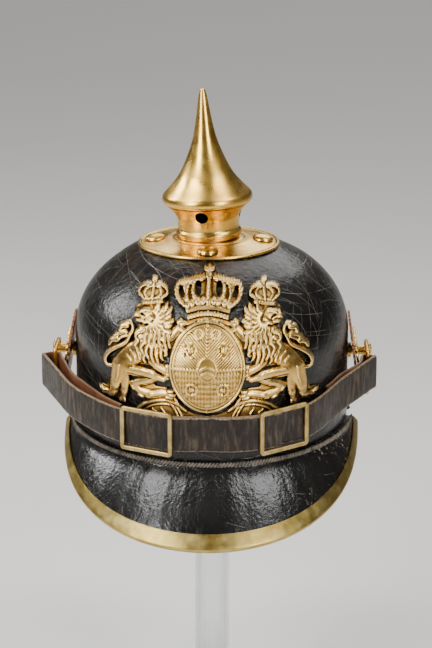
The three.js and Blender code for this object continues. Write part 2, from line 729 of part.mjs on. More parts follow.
// Thin toothed disc with a bore; its axis is X and its inner face is at x = 0.
function cockade(diameter, teeth, sheetThickness) {
  const points = Array.from({ length: teeth * 2 }, (_, i) => {
    const turn = (i * Math.PI) / teeth;
    const radius = diameter / 2 - (i % 2) * cockadeTooth;
    return new THREE.Vector2(radius * Math.cos(turn), radius * Math.sin(turn));
  });
  const shape = new THREE.Shape(points);
  const bore = new THREE.Path().absarc(0, 0, lugDiameter / 2 + 2 * fitGap, 0, 2 * Math.PI, true);
  shape.holes.push(bore);
  const disc = new THREE.ExtrudeGeometry(shape, { depth: sheetThickness, bevelEnabled: false, curveSegments: 6 });
  return cleanGeometry(disc.rotateY(Math.PI / 2));
}

const cockadeFace = skullHalfWidth + cockadeStandoff;
const smallCockadeFace = cockadeFace + cockadeSheet + cockadeSpacer;
const cockadeLean = Math.sin(radians(cockadeTilt));
const ringPlane = skullHalfWidth + ringStandoff;
const lugEnd = ringPlane + ringWire / 2 + fitGap;

// Lug for the +X side: post through the leather, inside washer, collar and button head.
function lug() {
  const at = (x) => new THREE.Vector3(x, 0, sideFittingLevel);
  const inside = skullHalfWidth - skullWall - 2 * fitGap;
  const collarEnd = cockadeFace - fitGap - (lugHeadDiameter / 2) * cockadeLean;
  return joined(
    roundBar(at(inside - nutThickness), at(lugEnd + lugHeadThickness), lugDiameter),
    roundBar(at(inside - nutThickness), at(inside), lugHeadDiameter),
    roundBar(at(skullHalfWidth + fitGap), at(collarEnd), lugHeadDiameter),
    roundBar(at(lugEnd), at(lugEnd + lugHeadThickness), lugHeadDiameter),
  );
}

// Middle height of the chin strap: level across the front, rising towards the rings.
const strapLevelAt = (azimuth) => strapFrontLevel + strapSideRise * (azimuth / 90) ** strapRisePower;

// Rectangular wire ring for the +X side, standing in a plane of constant x.
function strapRing() {
  const level = strapLevelAt(strapLevelAzimuth);
  const frame = (grow) => [
    [-ringForward - grow, level - ringHeight / 2 - grow], [ringBack + grow, level - ringHeight / 2 - grow],
    [ringBack + grow, level + ringHeight / 2 + grow], [-ringForward - grow, level + ringHeight / 2 + grow],
  ];
  const half = ringWire / 2;
  const ring = prism(frame(half), -half, half, [frame(-half)]);
  return cleanGeometry(ring.rotateZ(Math.PI / 2).translate(ringPlane, 0, 0));
}

// Chin strap. Rows hold the azimuth and the share of the standoff at which the strap's outer face lies.
const strapRows = (rows) => rows.map(([azimuth, share]) => [azimuth, share * strapStandoff]);
const leftStrapRows = strapRows([[0, 0.333], [6, 0.446], [13, 0.56], [23, 0.655], [34, 0.75], [46, 0.81],
  [57, 0.893], [68, 0.9]]);
const rightStrapRows = strapRows([[0, 0.333], [6, 0.446], [13, 0.56], [20, 0.631], [27, 0.667], [37, 0.649],
  [46, 0.512], [55, 0.375], [64, 0.417]]);
// Rows of the returning layer's outer face, from the ring forwards.
const leftReturnRows = strapRows([[66, 0.512], [58, 0.381], [50, 0.345], [42, 0.393], [34, 0.44]]);
const rightReturnRows = strapRows([[74.5, 0.631], [66, 0.214], [60, 0.173], [54, 0.173]]);

const strapHalf = strapLeather / 2;
const strapPlan = (side, [azimuth, face]) => {
  const angle = radians(azimuth);
  const offset = face - strapHalf;
  return new THREE.Vector2(
    side * (skullHalfWidth + offset) * Math.sin(angle),
    -(skullHalfLength + offset) * Math.cos(angle),
  );
};

function loopPlan(side, radius) {
  const innerLine = ringPlane - tightLoopRadius;
  const centre = new THREE.Vector2(innerLine + radius, -ringForward);
  const steps = 8;
  return Array.from({ length: steps + 1 }, (_, i) => {
    const turn = (i * Math.PI) / steps;
    return new THREE.Vector2(side * (centre.x + radius * Math.cos(turn)), centre.y + radius * Math.sin(turn));
  });
}

function strapLevel(x, y) {
  const angle = Math.atan2(Math.abs(x) / skullHalfWidth, -y / skullHalfLength);
  return strapLevelAt(Math.min(strapLevelAzimuth, THREE.MathUtils.radToDeg(angle)));
}

// Strap of even thickness along a line in plan.
function strapAlong(plan) {
  const faces = [strapHalf, -strapHalf].map((side) => plan.map((point, i) => {
    const before = plan[Math.max(0, i - 1)];
    const after = plan[Math.min(plan.length - 1, i + 1)];
    const along = new THREE.Vector2().subVectors(after, before).normalize();
    const x = point.x + side * along.y;
    const y = point.y - side * along.x;
    const level = strapLevel(point.x, point.y);
    return [level + strapWidth / 2, level - strapWidth / 2].map((z) => new THREE.Vector3(x, y, z));
  }));
  return sheet(...faces);
}

// The left strap lies outermost across the front; the right one passes behind it there.
function leftStrap() {
  const outer = leftStrapRows.map((row) => strapPlan(-1, row));
  const across = rightStrapRows.slice(1, 5).map((row) => strapPlan(1, row));
  const back = leftReturnRows.map((row) => strapPlan(-1, row));
  return strapAlong([...across.reverse(), ...outer, ...loopPlan(-1, looseLoopRadius), ...back]);
}

function rightStrap() {
  const under = strapLeather + fitGap;
  const behind = (rows, side) => rows.map(([azimuth, face]) => strapPlan(side, [azimuth, face - under]));
  return strapAlong([
    ...behind(leftStrapRows.slice(1, 3), -1).reverse(),
    ...behind(rightStrapRows.slice(0, 5), 1),
    ...rightStrapRows.slice(5).map((row) => strapPlan(1, row)),
    ...loopPlan(1, tightLoopRadius),
    ...rightReturnRows.map((row) => strapPlan(1, row)),
  ]);
}

// Outer face of a strap at an azimuth, between the two rows around it.
function faceAt(rows, azimuth) {
  const after = Math.max(1, rows.findIndex(([at]) => at >= azimuth));
  const [[low, from], [high, to]] = rows.slice(after - 1, after + 1);
  return from + ((to - from) * (azimuth - low)) / (high - low);
}

// Flat rectangular frame whose upright bars bear on the strap.
function buckle(side, azimuth, rows) {
  const windowHeight = strapWidth + 2 * fitGap;
  const frame = (halfLength, halfHeight) => [[-halfLength, -halfHeight], [halfLength, -halfHeight],
    [halfLength, halfHeight], [-halfLength, halfHeight]];
  const outer = frame(buckleLength / 2, windowHeight / 2 + buckleBar);
  const hole = frame(buckleLength / 2 - buckleBar, windowHeight / 2);
  const shape = prism(outer, 0, buckleThickness, [hole]);
  const reach = THREE.MathUtils.radToDeg(buckleLength / 2 / (skullHalfLength + 6));
  const seat = strapHalf + 2 * fitGap;
  const ends = [-1, 1].map((end) => {
    const at = azimuth + end * reach;
    return strapPlan(side, [at, faceAt(rows, at) + seat]);
  });
  const centre = new THREE.Vector2().addVectors(...ends).multiplyScalar(0.5);
  const along = new THREE.Vector2().subVectors(...ends).multiplyScalar(-side);
  const levels = ends.map((end) => strapLevel(end.x, end.y));
  const level = (levels[0] + levels[1]) / 2;
  const tip = Math.atan2(levels[1] - levels[0], buckleLength) * -side;
  return shape.rotateY(tip).rotateZ(Math.atan2(along.y, along.x)).translate(centre.x, centre.y, level);
}

// Stand pieces.
const postSeat = footThickness - footSocketDepth + fitGap;
const innerSeat = wallHeight + (seatHeight - wallHeight) * (1 - skullWall / crownHeight);
const padTop = rimHeight + innerSeat + seatRise - fitGap;
const padBottom = padTop - padThickness;

function foot() {
  const socket = postDiameter / 2 + fitGap;
  const radius = footDiameter / 2;
  return turned([[0, 0], [radius - 1, 0], [radius, 1], [radius, footThickness - 1.5], [radius - 1.5, footThickness],
    [socket, footThickness], [socket, footThickness - footSocketDepth], [0, footThickness - footSocketDepth]], 32);
}

function post() {
  const top = padBottom + padSocketDepth - fitGap;
  return turned([[postBore / 2, postSeat], [postDiameter / 2, postSeat], [postDiameter / 2, top],
    [postBore / 2, top]], 20);
}

function pad() {
  const radius = padDiameter / 2;
  const socket = postDiameter / 2 + fitGap;
  return turned([[0, padBottom + padSocketDepth], [socket, padBottom + padSocketDepth], [socket, padBottom],
    [radius - 2, padBottom], [radius, padBottom + 2], [radius, padTop - 2.5], [radius - 3, padTop - 0.8],
    [0, padTop]], 20);
}

function piece(name, geometry, look) {
  const mesh = new THREE.Mesh(geometry, new THREE.MeshStandardMaterial(finishes[look]));
  mesh.name = name;
  return mesh;
}

const part = new THREE.Group();
part.add(
  piece('stand_foot', foot(), 'clearAcrylic'),
  piece('stand_post', post(), 'clearAcrylic'),
  piece('stand_pad', pad(), 'clearAcrylic'),
);

const helmet = new THREE.Group();
helmet.position.z = rimHeight;
part.add(helmet);
helmet.add(
  piece('skull', skull(), 'blackLeather'),
  piece('front_visor', visorSheet(frontVisor), 'visorLeather'),
  piece('front_visor_trim', visorTrim(), 'trimBrass'),
  piece('rear_visor', visorSheet(rearVisor), 'visorLeather'),
  piece('rear_spine', rearSpine(), 'spikeBrass'),
  piece('spike_base', spikeBase(), 'spikeBrass'),
  piece('front_plate', frontPlate(), 'plateBrass'),
);
platePostPlaces.forEach((place, i) => {
  helmet.add(piece(`plate_nut_${i + 1}`, plateNut(place), 'spikeBrass'));
});
studFrames.forEach((matrix, i) => {
  helmet.add(piece(`base_stud_${i + 1}`, stud().applyMatrix4(matrix), 'spikeBrass'));
});

// The neck and spike lean a little together on the flat base.
const spike = new THREE.Group();
const leanLift = neckFootRadius * Math.sin(radians(spikeLean));
spike.position.set(-seatOffset, 0, seatHeight + collarHeight + fitGap + leanLift);
spike.rotation.y = -radians(spikeLean);
helmet.add(spike);
const tip = piece('spike_tip', spikeTip(), 'spikeBrass');
tip.position.z = neckHeight + fitGap;
spike.add(piece('spike_neck', spikeNeck(), 'spikeBrass'), tip);

for (const [name, side] of [['left', -1], ['right', 1]]) {
  const fittings = new THREE.Group();
  fittings.rotation.z = side < 0 ? Math.PI : 0;
  helmet.add(fittings);
  fittings.add(piece(`lug_${name}`, lug(), 'spikeBrass'));
  const discs = [
    ['large_cockade', largeCockadeDiameter, 24, cockadeFace, 'copperBrass'],
    ['small_cockade', smallCockadeDiameter, 16, smallCockadeFace, 'spikeBrass'],
  ];
  for (const [kind, diameter, teeth, face, look] of discs) {
    const disc = piece(`${kind}_${name}`, cockade(diameter, teeth, cockadeSheet), look);
    disc.position.set(face, 0, sideFittingLevel);
    disc.rotation.y = radians(-cockadeTilt);
    fittings.add(disc);
  }
}
const ringRight = strapRing();
const ringLeft = cleanGeometry(ringRight.clone().scale(-1, 1, 1));
helmet.add(
  piece('strap_ring_left', ringLeft, 'spikeBrass'),
  piece('strap_ring_right', ringRight, 'spikeBrass'),
  piece('chin_strap_left', leftStrap(), 'strapLeather'),
  piece('chin_strap_right', rightStrap(), 'strapLeather'),
  piece('buckle_left', buckle(-1, leftBuckleAzimuth, leftStrapRows), 'plateBrass'),
  piece('buckle_right', buckle(1, rightBuckleAzimuth, rightStrapRows), 'plateBrass'),
);

export default part;
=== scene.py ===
# %% [markdown]
# # A spiked leather helmet on a clear stand
# The helmet is black lacquered leather with gilt brass fittings and a worn chin strap. Each cell below
# makes one piece, in metres, over the plain solids of the frame, and says how the real one is made.

# %% Load the frame
import math
import bmesh
import bpy
import numpy as np
from mathutils import Matrix, Vector


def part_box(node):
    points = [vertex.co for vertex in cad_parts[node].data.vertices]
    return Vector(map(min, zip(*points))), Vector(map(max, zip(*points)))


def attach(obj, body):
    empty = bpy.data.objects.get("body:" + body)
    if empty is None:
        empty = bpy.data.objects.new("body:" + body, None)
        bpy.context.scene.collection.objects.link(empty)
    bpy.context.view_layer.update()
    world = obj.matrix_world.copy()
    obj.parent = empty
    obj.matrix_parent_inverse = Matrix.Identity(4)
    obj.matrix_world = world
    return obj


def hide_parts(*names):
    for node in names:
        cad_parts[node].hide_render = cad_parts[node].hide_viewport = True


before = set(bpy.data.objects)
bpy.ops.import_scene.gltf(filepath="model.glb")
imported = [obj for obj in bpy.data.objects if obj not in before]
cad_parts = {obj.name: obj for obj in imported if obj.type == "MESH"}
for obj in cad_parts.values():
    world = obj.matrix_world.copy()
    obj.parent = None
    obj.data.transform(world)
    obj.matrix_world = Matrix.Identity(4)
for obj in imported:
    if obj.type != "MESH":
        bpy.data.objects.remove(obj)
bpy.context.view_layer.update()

# %% [markdown]
# The photograph is taken from a little above and slightly to the right of the front plate. A camera
# could be placed by eye, but here its place, aim and lens were fitted to points seen in the
# picture, such as the spike's top and the ends of the visor, so that each piece falls where it
# should. The lens is long, which keeps the helmet's proportions.

# %% Camera
MM = 0.001
RIM = round(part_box("skull")[0][2] / MM, 2)
LENS = 112.81
CAMERA_AT = (0.0345, -1.2627, 0.6422)
AIM = Vector((-0.0243, 0.9603, -0.2779))

def rgb(code):
    """An sRGB hex colour as linear values with alpha."""
    parts = [int(code[i:i + 2], 16) / 255 for i in (1, 3, 5)]
    return [c / 12.92 if c <= 0.04045 else ((c + 0.055) / 1.055) ** 2.4 for c in parts] + [1.0]

camera = bpy.data.objects.new("camera", bpy.data.cameras.new("camera"))
camera.data.lens = LENS
camera.data.sensor_width = 36
camera.location = CAMERA_AT
camera.rotation_euler = AIM.to_track_quat("-Z", "Y").to_euler()
bpy.context.scene.collection.objects.link(camera)
bpy.context.scene.camera = camera
print("camera at", tuple(round(c, 3) for c in camera.location), "rim at", RIM, "mm")

# %% [markdown]
# Metal and varnish show the lamps as highlights, so the lamps' places shape the picture as much as
# the materials do. Two tall soft lamps in front give the spike its paired bright bands, two above
# at the sides give the visor its patches of gloss, one behind lifts the skull's left side, and a
# weak wide sun and sky fill the shadows.

# %% Lights
def soft_light(name, place, target, size, power):
    """A large soft rectangular lamp that faces a point."""
    lamp = bpy.data.lights.new(name, "AREA")
    lamp.shape, lamp.size, lamp.size_y, lamp.energy = "RECTANGLE", size[0], size[1], power
    holder = bpy.data.objects.new(name, lamp)
    holder.location = place
    holder.rotation_euler = (Vector(target) - Vector(place)).to_track_quat("-Z", "Y").to_euler()
    bpy.context.scene.collection.objects.link(holder)

middle = (0, 0, 0.3)
# name: place in metres, width and height in metres, power in watts
LAMPS = {
    "light_left": ((-1.05, -1.15, 0.95), (0.55, 1.0), 26),
    "light_right": ((0.95, -1.25, 0.8), (0.45, 0.9), 17),
    "light_above_left": ((-0.64, -0.28, 1.4), (0.5, 0.6), 11),
    "light_above_right": ((0.66, -0.28, 1.4), (0.5, 0.6), 9),
    "light_behind_left": ((-1.05, 0.42, 1.05), (0.35, 0.5), 9),
}
for name, (place, size, power) in LAMPS.items():
    soft_light(name, place, middle, size, power)
sun = bpy.data.lights.new("light_even", "SUN")
sun.energy, sun.angle = 1.5, 0.8
sun_holder = bpy.data.objects.new("light_even", sun)
sun_holder.rotation_euler = (-0.85, 0.15, 0)
bpy.context.scene.collection.objects.link(sun_holder)
world = bpy.data.worlds.new("studio")
bpy.context.scene.world = world
world.use_nodes = True
world.node_tree.nodes["Background"].inputs["Color"].default_value = rgb("#e9e6e1")
world.node_tree.nodes["Background"].inputs["Strength"].default_value = 0.13
print("lamps", len(LAMPS), "and a sun")

# %% [markdown]
# Every finish is a node material in the object's own coordinates, scaled from real millimetres,
# because painted images would be tied to one view. Nodes could be added by hand in the editor. Here
# one small function adds any node with its settings and links and gives one of its outputs, so that
# a material reads from top to bottom like a recipe: patterns first, then colour, gloss and bumps.

# %% Node and material helpers
NOISE, CELLS, RANGE = "ShaderNodeTexNoise", "ShaderNodeTexVoronoi", "ShaderNodeMapRange"
MIX, MATHS, TURN = "ShaderNodeMix", "ShaderNodeMath", "ShaderNodeMapping"
SPLIT, STORED, BUMP = "ShaderNodeSeparateXYZ", "ShaderNodeAttribute", "ShaderNodeBump"

def add(tree, kind, links=None, out=None, **settings):
    """Adds a node, sets it, and links or sets its inputs; gives one output where it is named."""
    new = tree.nodes.new(kind)
    for key, value in settings.items():
        setattr(new, key, value)
    for key, value in (links or {}).items():
        if isinstance(value, bpy.types.NodeSocket):
            tree.links.new(value, new.inputs[key])
        else:
            new.inputs[key].default_value = value
    return new if out is None else new.outputs[out]

def start_material(name, **constants):
    """A material with its shader's constant inputs set; returns it, its tree, shader and place."""
    made = bpy.data.materials.new(name)
    made.use_nodes = True
    tree = made.node_tree
    shader = tree.nodes["Principled BSDF"]
    for key, value in constants.items():
        shader.inputs[key.replace("_", " ")].default_value = value
    place = add(tree, "ShaderNodeTexCoord", None, "Object")
    return made, tree, shader, place

def per_mm(size):
    """Texture scale that gives features of this size in millimetres."""
    return 1000.0 / size

print("helpers for nodes ready")

# %% [markdown]
# Old varnish breaks in two ways. Handling leaves long, nearly straight hairlines, and drying leaves
# short cracks. The first is drawn as thin stripes that are broken into stretches, the second as the
# edges of warped cells, kept to patches. Both are drawn as wide as a render can still show.

# %% Hairlines and dry cracks
def scratches(tree, place, turn, spacing, width, reach):
    """Long, nearly straight hairlines in one direction, each broken into stretches."""
    laid = add(tree, TURN, {"Vector": place, "Rotation": turn}, 0)
    across = add(tree, SPLIT, {0: laid}, "X")
    sway = add(tree, NOISE, {"Vector": place, "Scale": per_mm(60), "Detail": 1.0}, 0)
    stripes = add(tree, MATHS, {0: across, 1: per_mm(spacing)}, 0, operation="MULTIPLY")
    swayed = add(tree, MATHS, {0: sway, 1: 0.7, 2: stripes}, 0, operation="MULTIPLY_ADD")
    step = add(tree, MATHS, {0: swayed}, 0, operation="FRACT")
    offset = add(tree, MATHS, {0: step, 1: 0.5}, 0, operation="SUBTRACT")
    gap = add(tree, MATHS, {0: offset}, 0, operation="ABSOLUTE")
    line = add(tree, RANGE, {0: gap, 1: 0.0, 2: width / spacing, 3: 1.0, 4: 0.0}, 0)
    drawn = add(tree, TURN, {"Vector": laid, "Scale": (1.0, 0.22, 0.22)}, 0)
    broken = add(tree, NOISE, {"Vector": drawn, "Scale": per_mm(spacing * 0.8), "Detail": 3.0,
                               "Roughness": 0.6}, 0)
    stretch = add(tree, RANGE, {0: broken, 1: 0.62 - reach, 2: 0.7 - reach}, 0)
    return add(tree, MATHS, {0: line, 1: stretch}, 0, operation="MULTIPLY")

def crazing(tree, place, size, width, reach):
    """Short broken cracks of dry varnish: edges of warped cells, in patches."""
    drift = add(tree, NOISE, {"Vector": place, "Scale": per_mm(size), "Detail": 3.0}, "Color")
    push = add(tree, "ShaderNodeVectorMath", {0: drift, 1: (size * MM,) * 3}, 0, operation="MULTIPLY")
    moved = add(tree, "ShaderNodeVectorMath", {0: place, 1: push}, 0, operation="ADD")
    cells = add(tree, CELLS, {"Vector": moved, "Scale": per_mm(size)}, 0, feature="DISTANCE_TO_EDGE")
    crack = add(tree, RANGE, {0: cells, 1: 0.0, 2: width / size, 3: 1.0, 4: 0.0}, 0)
    spread = add(tree, NOISE, {"Vector": place, "Scale": per_mm(size * 2.3), "Detail": 3.0}, 0)
    patch = add(tree, RANGE, {0: spread, 1: 0.6 - reach, 2: 0.7 - reach}, 0)
    return add(tree, MATHS, {0: crack, 1: patch}, 0, operation="MULTIPLY")

print("hairlines and cracks ready")

# %% [markdown]
# Gilt brass is a warm satin metal. Its raised parts are rubbed bright, and its hollows are painted
# brown: a tarnish together with painted shade. A pointiness node could pick out the sharp creases,
# but it misses wide hollows, so the plate's mesh stores how deep each point lies, and the colour
# follows that stored value. Spun parts get fine rings from the lathe, and the trim and the cockades
# get dark specks.

# %% Metal finishes
def brass(name, colour, tarnish, bright, rough, patch_mm=14.0, speckle=0.0, hollow_tarnish_and_shade=False, brushed=0.0):
    """Aged brass with tarnish patches, fine scratches and an uneven polish; where asked, brown tarnish and
    painted shade darken the hollows.
    """
    made, tree, shader, place = start_material(name, Metallic=1.0)
    clouds = add(tree, NOISE, {"Vector": place, "Scale": per_mm(patch_mm), "Detail": 5.0,
                               "Roughness": 0.6}, 0)
    patches = add(tree, RANGE, {0: clouds, 1: 0.42, 2: 0.68}, 0)
    tint = add(tree, MIX, {0: patches, 6: rgb(colour), 7: rgb(tarnish)}, 2, data_type="RGBA")
    rubs = add(tree, NOISE, {"Vector": place, "Scale": per_mm(patch_mm * 0.6), "Detail": 4.0}, 0)
    sheen = add(tree, RANGE, {0: rubs, 1: 0.5, 2: 0.75, 4: 0.55}, 0)
    tint = add(tree, MIX, {0: sheen, 6: tint, 7: rgb(bright)}, 2, data_type="RGBA")
    if speckle:
        dots = add(tree, NOISE, {"Vector": place, "Scale": per_mm(1.1), "Detail": 2.0, "Roughness": 0.7}, 0)
        spots = add(tree, RANGE, {0: dots, 1: 0.55, 2: 0.7, 4: speckle}, 0)
        tint = add(tree, MIX, {0: spots, 6: tint, 7: rgb("#3a2a20")}, 2, data_type="RGBA")
    height = add(tree, NOISE, {"Vector": place, "Scale": per_mm(0.7), "Detail": 3.0, "Roughness": 0.6}, 0)
    # Brown tarnish and painted shade in the hollows, and the heights rubbed bright
    if hollow_tarnish_and_shade:
        depth = add(tree, STORED, None, "Fac", attribute_name="hollow_tarnish_and_shade")
        tarnish_and_shade = add(tree, RANGE, {0: depth, 1: 0.46, 2: 0.76, 4: 0.95}, 0)
        tint = add(tree, MIX, {0: tarnish_and_shade, 6: tint, 7: rgb("#46300f")}, 2, data_type="RGBA")
        raised = add(tree, RANGE, {0: depth, 1: 0.45, 2: 0.2, 4: 0.75}, 0)
        tint = add(tree, MIX, {0: raised, 6: tint, 7: rgb(bright)}, 2, data_type="RGBA")
    if brushed:
        round_lines = add(tree, TURN, {"Vector": place, "Scale": (0.06, 0.06, 1.0)}, 0)
        lines = add(tree, NOISE, {"Vector": round_lines, "Scale": per_mm(brushed), "Detail": 2.0}, 0)
        height = add(tree, MATHS, {0: height, 1: lines}, 0, operation="ADD")
    smears = 2.0 if brushed else 5.0
    wear = add(tree, NOISE, {"Vector": place, "Scale": per_mm(patch_mm * 0.4), "Detail": smears}, 0)
    gloss = add(tree, RANGE, {0: wear, 1: 0.3, 2: 0.75, 3: rough - 0.07, 4: rough + 0.12}, 0)
    depth_mm = 0.02 if brushed else 0.06
    normal = add(tree, BUMP, {"Height": height, "Distance": depth_mm * MM, "Strength": 0.6}, 0)
    for key, value in (("Base Color", tint), ("Roughness", gloss), ("Normal", normal)):
        tree.links.new(value, shader.inputs[key])
    return made

# Stamped gilt plate: pale gold on the heights, brown tarnish and painted shade in the hollows.
plate_brass = brass("stamped_gilt_brass", "#d0a450", "#ad823e", "#f2d28a", 0.3, hollow_tarnish_and_shade=True)
# Spun and polished spike: deeper, warmer gold.
spike_brass = brass("polished_spun_brass", "#e0b557", "#cd9f49", "#f3d07c", 0.28, 30.0, brushed=1.2)
# Buckles: plain brass bar, browned by handling.
buckle_brass = brass("handled_buckle_brass", "#b39a63", "#86703f", "#d2bd86", 0.36, 8.0)
# Visor trim: dull greenish brass.
trim_brass = brass("dull_trim_brass", "#bba35c", "#9a813f", "#d9c684", 0.36, 16.0, speckle=0.12)
# Cockade: pinkish copper brass with dark specks.
copper_brass = brass("speckled_copper_brass", "#bb8562", "#8a5f45", "#e0b28e", 0.4, 7.0, speckle=0.7)
# Inside faces of the neck: near black, a painted shade for the vents.
painted_inner_shade = brass("neck_inside_painted_shade", "#2a2118", "#17120d", "#3a2d1e", 0.6)
print("metals", plate_brass.name, spike_brass.name, trim_brass.name, copper_brass.name)

# %% [markdown]
# Lacquered leather has a black varnish on a pebbled grain. The varnish is a coat over a dark base,
# with its own gloss. Age has crazed it into pale hairlines, and the crown turns a mottled brown near
# the spike's plate. The visors' thicker varnish is glossier, wrinkled by bending, and chipped to the
# bare leather near one end. One function makes both, so that they look cut from one hide.

# %% Lacquered leather
HAIRLINE_TURNS = ((0.2, 0.5, 1.2), (0.9, 0.1, -0.7), (0.3, 1.3, 0.3), (1.2, 0.4, 2.2), (0.5, 1.0, -1.9),
                  (0.1, 0.8, 0.1), (1.0, 1.1, 0.9))
CROWN_BROWN_BAND = (0.308, 0.332)
CHIP_SIDE = (0.05, 0.074)

def black_leather(name, rough, coat, wear, crazed, pebble, wrinkle, brown_near_plate=False, chipped=False):
    """Varnished leather: near black, with pale hairlines, and wrinkles under the gloss."""
    made, tree, shader, place = start_material(name, Coat_Weight=coat, Coat_Roughness=0.2,
                                               Specular_IOR_Level=0.12)
    lines = crazing(tree, place, 5.0, 0.14, crazed)
    for n, turn in enumerate(HAIRLINE_TURNS):
        fine = scratches(tree, place, turn, 5.0 + 2.0 * n, 0.11, wear)
        lines = add(tree, MATHS, {0: lines, 1: fine}, 0, operation="MAXIMUM")
    clouds = add(tree, NOISE, {"Vector": place, "Scale": per_mm(30), "Detail": 4.0}, 0)
    cloud = add(tree, RANGE, {0: clouds, 1: 0.35, 2: 0.7}, 0)
    tint = add(tree, MIX, {0: cloud, 6: rgb("#070605"), 7: rgb("#110f0d")}, 2, data_type="RGBA")
    sides = add(tree, SPLIT, {0: place})
    # Mottled brown high on the crown, near the spike's plate
    if brown_near_plate:
        near = add(tree, RANGE, {0: sides.outputs["Z"], 1: CROWN_BROWN_BAND[0], 2: CROWN_BROWN_BAND[1]}, 0)
        mottle = add(tree, NOISE, {"Vector": place, "Scale": per_mm(9), "Detail": 5.0,
                                   "Roughness": 0.65}, 0)
        rubbed = add(tree, RANGE, {0: mottle, 1: 0.46, 2: 0.68}, 0)
        bare = add(tree, MATHS, {0: near, 1: rubbed}, 0, operation="MULTIPLY")
        tint = add(tree, MIX, {0: bare, 6: tint, 7: rgb("#35261a")}, 2, data_type="RGBA")
    if chipped:
        flakes = add(tree, NOISE, {"Vector": place, "Scale": per_mm(2.6), "Detail": 5.0,
                                   "Roughness": 0.7}, 0)
        chips = add(tree, RANGE, {0: flakes, 1: 0.58, 2: 0.62, 4: 0.85}, 0)
        near = add(tree, RANGE, {0: sides.outputs["X"], 1: CHIP_SIDE[0], 2: CHIP_SIDE[1]}, 0)
        spread = add(tree, NOISE, {"Vector": place, "Scale": per_mm(20), "Detail": 2.0}, 0)
        patch = add(tree, RANGE, {0: spread, 1: 0.46, 2: 0.58, 4: near}, 0)
        bare = add(tree, MATHS, {0: chips, 1: patch}, 0, operation="MULTIPLY")
        tint = add(tree, MIX, {0: bare, 6: tint, 7: rgb("#b3a68c")}, 2, data_type="RGBA")
    shown = add(tree, MATHS, {0: lines, 1: 0.33}, 0, operation="MULTIPLY")
    tint = add(tree, MIX, {0: shown, 6: tint, 7: rgb("#a39984")}, 2, data_type="RGBA")
    handled = add(tree, NOISE, {"Vector": place, "Scale": per_mm(12), "Detail": 5.0, "Roughness": 0.6}, 0)
    gloss = add(tree, RANGE, {0: handled, 1: 0.3, 2: 0.7, 3: rough - 0.1, 4: rough + 0.12}, 0)
    gloss = add(tree, MATHS, {0: lines, 1: 0.25, 2: gloss}, 0, operation="MULTIPLY_ADD")
    grain = add(tree, CELLS, {"Vector": place, "Scale": per_mm(1.3)}, "Distance")
    normal = add(tree, BUMP, {"Height": grain, "Distance": 0.1 * MM, "Strength": 0.35}, 0)
    # Pebbled grain, drawn coarser than the real one so that it breaks up the highlights.
    pebbles = add(tree, NOISE, {"Vector": place, "Scale": per_mm(3.8), "Detail": 2.0}, 0)
    normal = add(tree, BUMP, {"Height": pebbles, "Distance": pebble * MM, "Strength": 0.6,
                              "Normal": normal}, 0)
    swell = add(tree, NOISE, {"Vector": place, "Scale": per_mm(8), "Detail": 5.0, "Roughness": 0.6}, 0)
    normal = add(tree, BUMP, {"Height": swell, "Distance": (0.3 + wrinkle) * MM, "Strength": 0.5,
                              "Normal": normal}, 0)
    if wrinkle:
        crinkle = crazing(tree, place, 3.2, 1.5, 0.3)
        normal = add(tree, BUMP, {"Height": crinkle, "Distance": 0.14 * MM, "Strength": 0.5,
                                  "Normal": normal}, 0)
        flow = add(tree, STORED, None, "Vector", attribute_name="flow")
        laid = add(tree, TURN, {"Vector": flow, "Scale": (1.0, 0.3, 1.0)}, 0)
        folds = add(tree, NOISE, {"Vector": laid, "Scale": per_mm(7), "Detail": 4.0, "Roughness": 0.55}, 0)
        normal = add(tree, BUMP, {"Height": folds, "Distance": 0.6 * MM, "Strength": 0.5,
                                  "Normal": normal}, 0)
    normal = add(tree, BUMP, {"Height": lines, "Distance": 0.15 * MM, "Strength": 0.6, "Normal": normal}, 0,
                 invert=True)
    for key, value in (("Base Color", tint), ("Roughness", gloss), ("Coat Normal", normal),
                       ("Normal", normal)):
        tree.links.new(value, shader.inputs[key])
    return made

# Blocked and lacquered skull leather, dull with age.
skull_leather = black_leather("black_lacquered_leather", 0.34, 0.42, 0.17, -0.05, 0.5, 0.0, brown_near_plate=True)
# Patent visor leather: a thick glossy varnish that has wrinkled.
visor_leather = black_leather("glossy_visor_leather", 0.34, 0.85, 0.0, -0.06, 0.2, 0.3, chipped=True)
print("leathers", skull_leather.name, visor_leather.name)

# %% [markdown]
# The strap is tanned leather, dyed dark on its face and left red-brown on its back. Years of
# bending have lifted the dye in short upright creases and rubbed both edges pale. A pattern in
# space would cut across the bends, so the mesh stores the distance along and across the strap, and
# the creases follow it.

